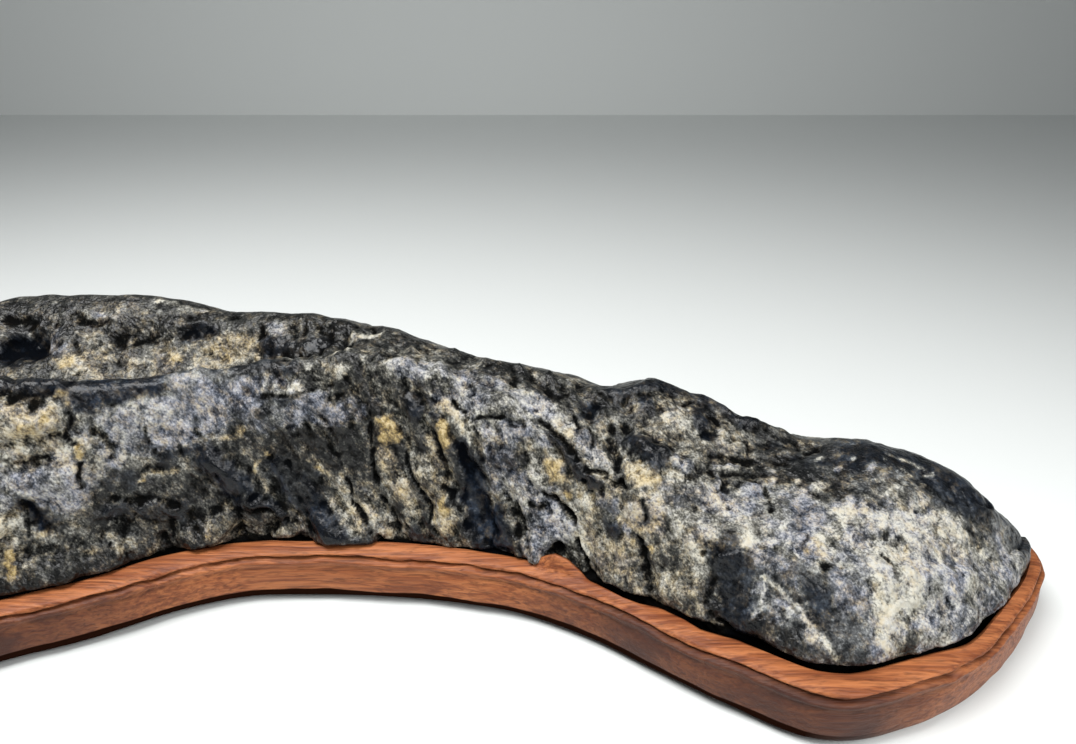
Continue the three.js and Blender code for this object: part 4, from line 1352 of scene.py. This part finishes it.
        # How rusty it is, and how blue, with edges that the patterns break up.
        rust = (mottle, self.rust_mottle, -self.rust_mottle / 2.0)
        rust = add_node(tree, "ShaderNodeMath", rust, operation="MULTIPLY_ADD")
        rust = add_node(tree, "ShaderNodeMath", (fleck, self.rust_fleck, rust), operation="MULTIPLY_ADD")
        rust = add_node(tree, "ShaderNodeMath", (ochre, rust), operation="ADD")
        rust = add_node(tree, "ShaderNodeMapRange", (rust, *self.rust_shown))
        blue = (mottle, self.blue_mottle, -self.blue_mottle / 2.0)
        blue = add_node(tree, "ShaderNodeMath", blue, operation="MULTIPLY_ADD")
        blue = add_node(tree, "ShaderNodeMath", (lilac, blue), operation="ADD")
        blue = add_node(tree, "ShaderNodeMath", (polish, self.blue_polish, blue), operation="MULTIPLY_ADD")
        blue = add_node(tree, "ShaderNodeMapRange", (blue, *self.blue_shown))
        # The colour: one row of colours for each kind of skin, the next laid over the last.
        colour = linear(self.crusted[0])
        skins = ((1.0, self.crusted), (polish, self.polished), (blue, self.lilac), (rust, self.rusty))
        for part, colours in skins:
            ramp = add_node(tree, "ShaderNodeValToRGB", {"Fac": tone})
            stops = ramp.node.color_ramp.elements
            stops[0].color = linear(colours[0])
            stops[1].color = linear(colours[-1])
            for index, middle in enumerate(colours[1:-1], start=1):
                stops.new(index / (len(colours) - 1)).color = linear(middle)
            mixed = {MIX_PART: part, MIX_FIRST: colour, MIX_SECOND: ramp}
            colour = add_node(tree, "ShaderNodeMix", mixed, MIX_COLOUR, data_type="RGBA")
        # Duller where it is crusted, and where painted shade takes the shine out; smoother where hands have
        # rubbed it.
        dull, glossy = self.shine
        shine = add_node(tree, "ShaderNodeMath", (polish, glossy - dull, dull), operation="MULTIPLY_ADD")
        shine = (crevice, self.crevice_shine, shine)
        shine = add_node(tree, "ShaderNodeMath", shine, operation="MULTIPLY_ADD", use_clamp=True)
        roughness = add_node(tree, "ShaderNodeMapRange", (tone, *self.roughness))
        roughness = (polish, self.polish_roughness, roughness)
        roughness = add_node(tree, "ShaderNodeMath", roughness, operation="MULTIPLY_ADD")
        bumps = (pebble, self.pebble_bump, dimple)
        bumps = add_node(tree, "ShaderNodeMath", bumps, operation="MULTIPLY_ADD")
        bumps = add_node(tree, "ShaderNodeMath", (bumps, calm), operation="MULTIPLY")
        bump = {"Height": bumps, "Strength": 1.0, "Distance": self.bump_height * METRES}
        shader = add_node(tree, "ShaderNodeBsdfPrincipled", {
            "Base Color": colour,
            "Roughness": roughness,
            "Specular IOR Level": shine,
            "IOR": self.ior,
            "Normal": add_node(tree, "ShaderNodeBump", bump),
        })
        add_node(tree, "ShaderNodeOutputMaterial", {"Surface": shader})
        return material


@dataclass(frozen=True)
class OiledRosewood:
    """Rosewood carved by hand, scraped and oiled.

    The eye gets a warm orange-brown wood with fine dark pores and streaks along the grain, purple-brown
    blotches on its sides, a satin shine, painted shade in the groove and recess, and a painted shadow at
    the base.
    """

    name: str = "rosewood carved and oiled"
    light: str = "#ae6b40"
    middle: str = "#945531"
    red: str = "#66321b"
    purple: str = "#3f231b"
    # the darkest colour: of the pores, and of the painted shade and shadow
    deep: str = "#1f0f09"
    ior: float = 1.48
    detail: float = 4.0
    distortion: float = 0.8
    streak: Pair = (1.2, 40.0)  # millimetres across a streak of the grain, and along it
    vein: Pair = (0.6, 14.0)  # veins and pores are drawn about twice as wide as real, to show
    pore: Pair = (0.4, 3.5)
    blotch: Pair = (9.0, 16.0)
    striped: Quad = (0.35, 0.65, 0.0, 1.0)  # how much of each coat lies on the wood, by its pattern
    banded: Quad = (0.52, 0.68, 0.0, 0.6)
    veined: Quad = (0.44, 0.66, 0.0, 0.72)
    pored: Quad = (0.5, 0.76, 0.0, 0.6)
    stained: Quad = (0.3, 0.65, 0.55, 1.0)
    shine: Pair = (0.3, 0.0)  # the specular level of the wood, and where painted shade lies on it
    roughness: Quad = (0.0, 1.0, 0.36, 0.6)
    vein_bump: float = 0.8
    bump_strength: float = 0.5
    bump_depth: float = 0.3

    def make(self) -> bpy.types.Material:
        """Builds the material's nodes.

        Returns:
            The material. It reads two mesh layers: the painted shade and shadow, and the side's stain.
        """
        material = bpy.data.materials.new(self.name)
        material.use_nodes = True
        tree = material.node_tree
        tree.nodes.clear()
        place = add_node(tree, "ShaderNodeTexCoord", {}, "Object")
        painted_shade_mask, side = (
            add_node(tree, "ShaderNodeAttribute", {}, "Fac", attribute_name=layer)
            for layer in ("painted_shade_mask", "side")
        )
        patterns = []
        for across, along in (self.streak, self.vein, self.pore, self.blotch):
            layout = {"Vector": place, "Scale": (per(along), per(across), per(across))}
            settings = {
                "Vector": add_node(tree, "ShaderNodeMapping", layout),
                "Scale": 1.0,
                "Detail": self.detail,
                "Distortion": self.distortion,
            }
            patterns.append(add_node(tree, "ShaderNodeTexNoise", settings))
        streaks, veins, pores, blotches = patterns
        striped, banded, veined, pored, stained = (
            add_node(tree, "ShaderNodeMapRange", (pattern, *span))
            for pattern, span in (
                (streaks, self.striped),
                (streaks, self.banded),
                (veins, self.veined),
                (pores, self.pored),
                (blotches, self.stained),
            )
        )
        stained = add_node(tree, "ShaderNodeMath", (stained, side), operation="MULTIPLY")
        # Light and dark streaks, then veins, pores, stain on the sides, and the painted shade and shadow.
        colour = linear(self.light)
        coats = (
            (striped, self.middle),
            (banded, self.red),
            (veined, self.red),
            (pored, self.deep),
            (stained, self.purple),
            (painted_shade_mask, self.deep),
        )
        for part, over in coats:
            mixed = {MIX_PART: part, MIX_FIRST: colour, MIX_SECOND: linear(over)}
            colour = add_node(tree, "ShaderNodeMix", mixed, MIX_COLOUR, data_type="RGBA")
        # Painted shade and shadow take the shine away too.
        bare_wood_shine, shaded_shine = self.shine
        shine = add_node(tree, "ShaderNodeMath", (painted_shade_mask, shaded_shine - bare_wood_shine, bare_wood_shine), operation="MULTIPLY_ADD")
        grain = add_node(tree, "ShaderNodeMath", (veins, self.vein_bump, pores), operation="MULTIPLY_ADD")
        bump = {"Height": grain, "Strength": self.bump_strength, "Distance": self.bump_depth * METRES}
        shader = add_node(tree, "ShaderNodeBsdfPrincipled", {
            "Base Color": colour,
            "Roughness": add_node(tree, "ShaderNodeMapRange", (pores, *self.roughness)),
            "Specular IOR Level": shine,
            "IOR": self.ior,
            "Normal": add_node(tree, "ShaderNodeBump", bump, invert=True),
        })
        add_node(tree, "ShaderNodeOutputMaterial", {"Surface": shader})
        return material


# ---------------------------------------------------------------- the two pieces

@dataclass(frozen=True)
class ViewingStone:
    """The stone: its smooth form, weathered."""

    form: StoneForm = StoneForm()
    grid: StoneSkinGrid = StoneSkinGrid()
    weathering: Weathering = Weathering()
    finish: WeatheredStone = WeatheredStone()
    bare_layers: Quad = (0.35, 0.12, 0.1, 0.12)  # the skin's layers before it is marked
    wander_seed: int = 40
    wander_size: float = 5.0
    wander: float = 1.3  # how far the marks' edges stray
    fray_seed: int = 50
    fray_size: float = 1.8
    own_weight: float = 2.0  # a point's own weight in a blur, against each of its four neighbours
    crevice_passes: int = 10  # blurs over about 0.7 mm, for the painted shade of the crevices
    deepest_crevice: float = 0.33  # deeper ones get no darker painted shade
    hollow_passes: int = 110  # blurs over about 2.3 mm

    def skin(self, points: np.ndarray, girth: np.ndarray) -> Skin:
        """Lays out the unweathered skin, its normals being the cross of the two ways along the grid.

        Args:
            points: the grid's points on the smooth form, (n, m, 3).
            girth: their girths, (n, m).

        Returns:
            The skin, with the grid's points in one row.
        """
        normals = np.cross(np.gradient(points, axis=0), np.gradient(points, axis=1))
        normals /= np.maximum(np.linalg.norm(normals, axis=2, keepdims=True), TINY)
        flat = points.reshape(-1, 3)
        seeds = (self.wander_seed + axis for axis in range(3))
        stray = [Noise(seed).fractal(flat / self.wander_size, octaves=3) for seed in seeds]
        return Skin(
            points=flat,
            normals=normals.reshape(-1, 3),
            relief=np.zeros(len(flat)),
            girth=girth.ravel(),
            layers=np.tile(np.array(self.bare_layers), (len(flat), 1)),
            wander=self.wander * np.stack(stray, axis=1),
            fray=Noise(self.fray_seed).fractal(flat / self.fray_size, octaves=3),
            grain=np.zeros(len(flat)),
        )

    def below(self, relief: np.ndarray, passes: int) -> np.ndarray:
        """How far each point of the grid lies below its neighbourhood: the blurred relief less its own.

        Args:
            relief: over the grid, (n, m).
            passes: how often it is blurred with its four neighbours.

        Returns:
            The depth, (n, m), negative where a point stands out.
        """
        blurred = relief
        for _ in range(passes):
            before = np.concatenate([blurred[:1], blurred[:-1]])
            along = before + np.concatenate([blurred[1:], blurred[-1:]])
            around = np.roll(blurred, 1, axis=1) + np.roll(blurred, -1, axis=1)
            blurred = (self.own_weight * blurred + along + around) / (self.own_weight + 4.0)
        return blurred - relief

    def closed_layer(self, values: np.ndarray) -> np.ndarray:
        """A layer over the grid, with its last column repeated under the stone."""
        under = np.repeat(values[:, -1:], self.grid.underside, axis=1)
        return np.concatenate([values, under], axis=1).ravel()

    def build(self) -> bpy.types.Object:
        """Makes the weathered mesh, closed by a flat underside, and dresses it.

        Returns:
            The stone's object.
        """
        x = self.grid.sections_at(self.form)
        girth = self.grid.girths(self.form, x)
        points = self.form.surface(x, girth)
        skin = self.skin(points, girth)
        for mark in MARKS:
            skin.apply(mark, self.form)
        self.weathering.roughen(skin)
        self.weathering.hang_over(skin, self.form)
        self.weathering.keep_clear(skin, self.form)
        rows, columns = girth.shape
        # The first and last sections are the noses, each a single point that stays where it is.
        skin.relief[:columns] = 0.0
        skin.relief[-columns:] = 0.0
        relief = skin.relief.reshape(rows, columns)
        # Painted shade in the crevices: how far the relief lies below its close neighbourhood.
        crevice = np.clip(self.below(relief, self.crevice_passes), 0.0, self.deepest_crevice)
        # Painted shade on the foot, thickening down into the recess.
        crevice += self.weathering.painted_shade_amount * smoothstep(*self.weathering.recess_shade_line, points[..., 2])
        hollow = self.below(relief, self.hollow_passes)
        weathered = (skin.points + skin.normals * skin.relief[:, None]).reshape(rows, columns, 3)
        share = np.linspace(0.0, 1.0, self.grid.underside + 2)[1:-1, None]
        under = blend(weathered[:, -1:], weathered[:, :1], share[None])
        closed = np.concatenate([weathered, under], axis=1) + self.form.shift()
        tints = dict(zip(LAYERS, np.moveaxis(skin.layers.reshape(rows, columns, -1), -1, 0)))
        tints.update(hollow=hollow, crevice=crevice, grain=skin.grain.reshape(rows, columns))
        layers = {name: self.closed_layer(values) for name, values in tints.items()}
        quads = grid_faces(*closed.shape[:2], True)
        stone = add_mesh("stone_weathered", closed.reshape(-1, 3), quads, layers)
        stone.data.materials.append(self.finish.make())
        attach(stone, "root")
        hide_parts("stone")
        return stone


@dataclass(frozen=True)
class CarvedStand:
    """The stand: one profile carried round the stone's foot, with a recess and four low feet."""

    form: StoneForm = StoneForm()
    grid: StoneSkinGrid = StoneSkinGrid(sections=3000)  # the foot's outline is measured on so many sections
    finish: OiledRosewood = OiledRosewood()
    half_steps: int = 440  # points along the front, and along the back
    normal_reach: float = 5.0  # the outline's direction is taken over this length either way
    rim_z: float = 9.7
    rim_crown: float = 0.05
    rim_steps: int = 10
    cap_rows: int = 44
    profile: Path = (  # from the underside up: the inset from the widest line, and the height
        (1.3, 1.0), (0.9, 1.05), (0.4, 1.3), (0.1, 1.9), (0.0, 2.65), (0.0, 2.8), (0.0, 3.4), (0.05, 4.2),
        (0.1, 5.0), (0.2, 5.8), (0.35, 6.5), (0.5, 7.0), (0.45, 7.4), (0.25, 7.7), (0.2, 8.0), (0.35, 8.2),
        (0.9, 8.35), (1.5, 8.45), (1.6, 8.6), (1.25, 8.8), (0.95, 9.0), (1.0, 9.2), (1.3, 9.4), (1.8, 9.57),
        (2.6, 9.68),
    )
    wall: Path = (  # from the rim down: the distance from the recess wall, and the height
        (0.45, 9.66), (0.12, 9.5), (0.0, 9.2), (0.0, 8.2), (0.0, 7.2), (0.0, 6.1), (0.0, 5.0),
    )
    tongue: Path = ((42, 0.0), (44, 1.6), (46, 3.0), (48, 2.8), (51.5, 0.0))  # x, and the rim's rise there
    tongue_reach: float = 2.2
    tongue_root: Pair = (8.2, 9.2)  # heights over which it begins to rise
    feet: tuple[Quad, ...] = (  # x, y, half the length and half the width
        (104, -11, 15, 10),
        (-101, -11, 15, 10),
        (30, 14, 14, 7),
        (-35, 16, 14, 7),
    )
    foot_height: float = 1.0
    foot_edge: Pair = (1.08, 1.0)  # shares of a foot's size over which it comes down
    seed: int = 71
    knife_depth: float = 0.36  # how far the knife strayed from the profile, over so many millimetres
    knife_size: float = 13.0
    rim_wave: float = 0.16
    rim_wave_size: float = 8.0
    rim_wave_start: float = 3.0  # moves the wave, and the groove's stray below, through the noise
    groove_zone: Quad = (7.2, 7.9, 8.9, 9.5)  # heights that stray with the groove
    groove_stray: float = 0.5
    groove_stray_size: float = 6.0
    groove_stray_start: float = 8.0
    true_below: Pair = (1.2, 2.0)  # heights over which the knife begins to stray
    true_inside: Pair = (-0.05, 0.3)  # and distances outside the recess wall
    groove_line: Quad = (8.2, 8.35, 8.65, 8.85)  # heights of the painted shade in the groove
    groove_shade: Pair = (0.05, 0.42)  # the groove's painted shade where it is lightest, and where darkest
    patches: Pair = (-0.25, 0.25)  # of the noise, from the lightest painted shade to the darkest
    second_line: Quad = (6.6, 6.9, 7.1, 7.4)  # heights of a fainter painted shade in the shallow cove below it
    # how dark that fainter painted shade is
    second_shade: float = 0.3
    shadow_edge_heights: Pair = (2.8, 2.65)  # heights over which the painted shadow along the bottom edge begins
    bottom_shadow_darkness: Path = ((80, 1.0), (95, 0.0))  # x, and how dark the painted shadow is there
    wall_shade: Pair = (0.3, 0.05)  # distances from the recess wall over which its painted shade begins
    stain: Path = (  # x, and how much of its dark stain the side has kept there
        (-60, 1.0), (-32, 0.95), (-14, 0.0), (38, 0.0), (55, 1.0), (88, 1.0), (104, 0.2),
    )
    stain_top: Pair = (8.75, 8.2)  # heights over which the stain ends

    def outline(self) -> tuple[np.ndarray, np.ndarray, np.ndarray]:
        """The stone's foot seen from above: along the front to the right tip, then back along the back.

        Returns:
            The points (n, 2), their outward directions (n, 2) and the wood's width outside each (n,).
        """
        form = self.form
        x = self.grid.sections_at(form)
        feet = form.surface(x, np.broadcast_to(form.foot_girths, (len(x), 2)))[..., :2]
        sides = []
        for side in (feet[:, 0], feet[::-1, 1]):
            way = np.concatenate([[0.0], np.cumsum(np.linalg.norm(np.diff(side, axis=0), axis=1))])
            rows = np.broadcast_to(way, (2, len(way)))
            sides.append(spread_evenly(rows, side.T, self.half_steps + 1).T[:-1])
        points = np.concatenate(sides)
        spacing = np.linalg.norm(np.diff(points, axis=0), axis=1).mean()
        reach = round(self.normal_reach / spacing)
        along = np.roll(points, -reach, axis=0) - np.roll(points, reach, axis=0)
        along /= np.linalg.norm(along, axis=1, keepdims=True)
        outward = np.stack([along[:, 1], -along[:, 0]], axis=1)
        return points, outward, form.station_values(points[:, 0])[:, -1]

    def cap(self, ring: np.ndarray) -> np.ndarray:
        """A sheet across a ring: straight rows from each front point to the back point facing it.

        Args:
            ring: rows of values round the outline, (n, c).

        Returns:
            The sheet, (half_steps + 1, cap_rows, c).
        """
        front = ring[: self.half_steps + 1]
        back = np.concatenate([ring[:1], ring[: self.half_steps - 1: -1]])
        share = np.linspace(0.0, 1.0, self.cap_rows)[None, :, None]
        return blend(front[:, None], back[:, None], share)

    def section(self, points: np.ndarray, rim: np.ndarray) -> tuple[np.ndarray, np.ndarray, np.ndarray]:
        """The section at each point of the outline, from the underside's edge round to the recess floor.

        Args:
            points: the outline, (n, 2).
            rim: the wood's width outside each, (n,).

        Returns:
            How far each section point lies outside the outline (n, m), how far outside the recess wall it
            lies (n, m), and its height (n, m).
        """
        front = np.arange(len(points)) < self.half_steps
        inset = np.array(self.profile)
        wall = np.array(self.wall)
        gap = self.form.gap(points[:, 0], front)[:, None]
        outer = rim[:, None] - inset[None, :, 0]
        share = np.linspace(0.0, 1.0, self.rim_steps + 2)[1:-1]
        top = blend(outer[:, -1:], gap + wall[0, 0], share[None])
        out = np.concatenate([outer, top, gap + wall[None, :, 0]], axis=1)
        crown = self.rim_z + self.rim_crown * np.sin(math.pi * share)
        heights = np.concatenate([inset[:, 1], crown, wall[:, 1]])
        rise = read_rows(self.tongue, points[:, 0]) * front
        part = smoothstep(self.tongue_reach, 0.0, out - gap) * smoothstep(*self.tongue_root, heights)
        return out, out - gap, heights + rise[:, None] * part

    def carve(self, carved: np.ndarray, outward: np.ndarray, free: np.ndarray) -> None:
        """Moves the section's points as an unsteady knife would, and the groove most.

        Args:
            carved: the section's points, (n, m, 3), which it changes.
            outward: the outline's outward directions, (n, 2).
            free: how far each point may move, from 0 to 1, (n, m).
        """
        noise = Noise(self.seed)
        aside = self.knife_depth * noise.fractal(carved / self.knife_size, octaves=3)
        rise = self.rim_wave * noise.fractal(carved / self.rim_wave_size + self.rim_wave_start, octaves=2)
        stray = noise.fractal(carved / self.groove_stray_size + self.groove_stray_start, octaves=3)
        rise += self.groove_stray * within(self.groove_zone, carved[..., 2]) * stray
        carved[..., :2] += outward[:, None] * (aside * free)[..., None]
        carved[..., 2] += rise * free

    def painted_shade_amount(self, carved: np.ndarray, heights: np.ndarray, clear: np.ndarray) -> np.ndarray:
        """The painted shade in the groove and by the recess wall, and the painted shadow along the bottom
        edge.

        Args:
            carved: the section's points, (n, m, 3).
            heights: their heights before the knife strayed, (n, m).
            clear: their distances outside the recess wall, (n, m).

        Returns:
            The painted shade and shadow, from 0 to 1, (n, m).
        """
        patches = Noise(self.seed + 1).fractal(carved / self.groove_stray_size, octaves=2)
        held = smoothstep(*self.patches, patches)
        # Painted shade in the groove, darker in patches, and fainter in the cove below it.
        painted_shade_mask = within(self.groove_line, heights) * blend(*self.groove_shade, held)
        painted_shade_mask = painted_shade_mask + within(self.second_line, heights) * self.second_shade * held
        # Painted shadow along the bottom edge, fading out under the head.
        edge = smoothstep(*self.shadow_edge_heights, heights) * read_rows(self.bottom_shadow_darkness, carved[..., 0])
        # Painted shade on the wood beside the recess wall.
        return np.maximum(np.maximum(painted_shade_mask, edge), smoothstep(*self.wall_shade, clear))

    def build(self) -> bpy.types.Object:
        """Makes the carved mesh, with the underside and the recess floor as its caps, and dresses it.

        Returns:
            The stand's object.
        """
        points, outward, rim = self.outline()
        out, clear, heights = self.section(points, rim)
        carved = points[:, None] + outward[:, None] * out[..., None]
        carved = np.concatenate([carved, heights[..., None]], axis=2)
        # Painted shade and shadow on the wood.
        painted_shade_mask = self.painted_shade_amount(carved, heights, clear)
        stain = read_rows(self.stain, carved[..., 0]) * smoothstep(*self.stain_top, heights)
        free = smoothstep(*self.true_below, heights) * smoothstep(*self.true_inside, clear)
        self.carve(carved, outward, free)
        carved = np.concatenate([carved, painted_shade_mask[..., None], stain[..., None]], axis=2)
        under = self.cap(carved[:, 0])
        for foot_x, foot_y, half_length, half_width in self.feet:
            oval = np.hypot((under[..., 0] - foot_x) / half_length, (under[..., 1] - foot_y) / half_width)
            under[..., 2] -= self.foot_height * smoothstep(*self.foot_edge, oval)
        sheets = [np.concatenate([carved, carved[:1]]), under, self.cap(carved[:, -1])]
        faces = []
        start = 0
        for sheet in sheets:
            faces.append(grid_faces(*sheet.shape[:2], False) + start)
            start += sheet.shape[0] * sheet.shape[1]
        rows = np.concatenate([sheet.reshape(-1, sheet.shape[2]) for sheet in sheets])
        # The first layer holds the painted shade and shadow, the second the side's stain.
        layers = {"painted_shade_mask": rows[:, 3], "side": rows[:, 4]}
        stand = add_mesh("stand_carved", rows[:, :3] + self.form.shift(), np.concatenate(faces), layers)
        stand.data.materials.append(self.finish.make())
        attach(stand, "root")
        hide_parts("stand")
        return stand


# ---------------------------------------------------------------- the studio

@dataclass(frozen=True)
class SoftLight:
    """A soft rectangular light, its places and sizes in millimetres."""

    name: str
    place: Triple
    aim: Triple
    size: Pair
    watts: float

    def build(self) -> None:
        """Adds the light, turned so that its -Z points at its aim."""
        data = bpy.data.lights.new(self.name, "AREA")
        data.shape = "RECTANGLE"
        data.size, data.size_y = (side * METRES for side in self.size)
        data.energy = self.watts
        light = bpy.data.objects.new(self.name, data)
        light.location = np.array(self.place) * METRES
        x, y, z = np.array(self.aim, float) - np.array(self.place, float)
        light.rotation_euler = (math.atan2(math.hypot(x, y), -z), 0.0, math.atan2(y, x) - math.pi / 2)
        bpy.context.scene.collection.objects.link(light)


@dataclass(frozen=True)
class Studio:
    """A plain pale floor running up to a plain wall, soft light from above, and the camera."""

    form: StoneForm = StoneForm()
    eye: Triple = (43.0, -112.0, 94.4)  # in the form's own x and y
    tilt_down: float = 26.4765  # degrees
    lens: float = 26.0
    sensor: float = 36.0
    clip: Pair = (0.005, 20.0)  # metres
    wall_y: float = 545.0
    floor_half: float = 3000.0
    floor_colour: str = "#e5e8e6"
    floor_roughness: float = 0.7
    world_colour: str = "#dfe3e8"
    world_strength: float = 0.18
    lights: tuple[SoftLight, ...] = (
        SoftLight("overhead", place=(-80, -45, 330), aim=(-60, 0, 0), size=(240, 200), watts=1.6),
        SoftLight("front", place=(190, -150, 190), aim=(70, 0, 0), size=(200, 120), watts=0.5),
    )

    def camera(self) -> None:
        """Sets the camera at its place, looking along +Y and down."""
        data = bpy.data.cameras.new("camera")
        data.lens = self.lens
        data.sensor_width = self.sensor
        data.clip_start, data.clip_end = self.clip
        camera = bpy.data.objects.new("camera", data)
        camera.location = (np.array(self.eye) + self.form.shift()) * METRES
        camera.rotation_euler = (math.radians(90.0 - self.tilt_down), 0.0, 0.0)
        bpy.context.scene.collection.objects.link(camera)
        bpy.context.scene.camera = camera

    def floor(self) -> None:
        """Lays the floor, with the wall standing up from its far edge in the same sheet."""
        half = self.floor_half
        profile = np.array([[-half, 0.0], [self.wall_y, 0.0], [self.wall_y, half]])
        rows = len(profile)
        across = np.broadcast_to(np.array([-half, half])[None, :, None], (rows, 2, 1))
        points = np.concatenate([across, np.broadcast_to(profile[:, None], (rows, 2, 2))], axis=2)
        floor = add_mesh("floor", points.reshape(-1, 3), grid_faces(rows, 2, False)[:, ::-1], {})
        floor.data.polygons.foreach_set("use_smooth", np.zeros(rows - 1, bool))
        material = bpy.data.materials.new("painted board matt")
        material.use_nodes = True
        shader = material.node_tree.nodes["Principled BSDF"]
        shader.inputs["Base Color"].default_value = linear(self.floor_colour)
        shader.inputs["Roughness"].default_value = self.floor_roughness
        floor.data.materials.append(material)

    def build(self) -> None:
        """Makes the camera, floor, world and lights."""
        self.camera()
        self.floor()
        world = bpy.data.worlds.new("studio")
        world.use_nodes = True
        background = world.node_tree.nodes["Background"]
        background.inputs["Color"].default_value = linear(self.world_colour)
        background.inputs["Strength"].default_value = self.world_strength
        bpy.context.scene.world = world
        bpy.context.scene.view_settings.view_transform = "Standard"
        for light in self.lights:
            light.build()


def main() -> None:
    """Builds the studio and the two pieces."""
    logging.basicConfig(level=logging.INFO, format="%(name)s: %(message)s")
    Studio().build()
    for maker in (CarvedStand(), ViewingStone()):
        made = maker.build()
        LOG.info("%s: %d faces", made.name, len(made.data.polygons))


if __name__ == "__main__":
    main()
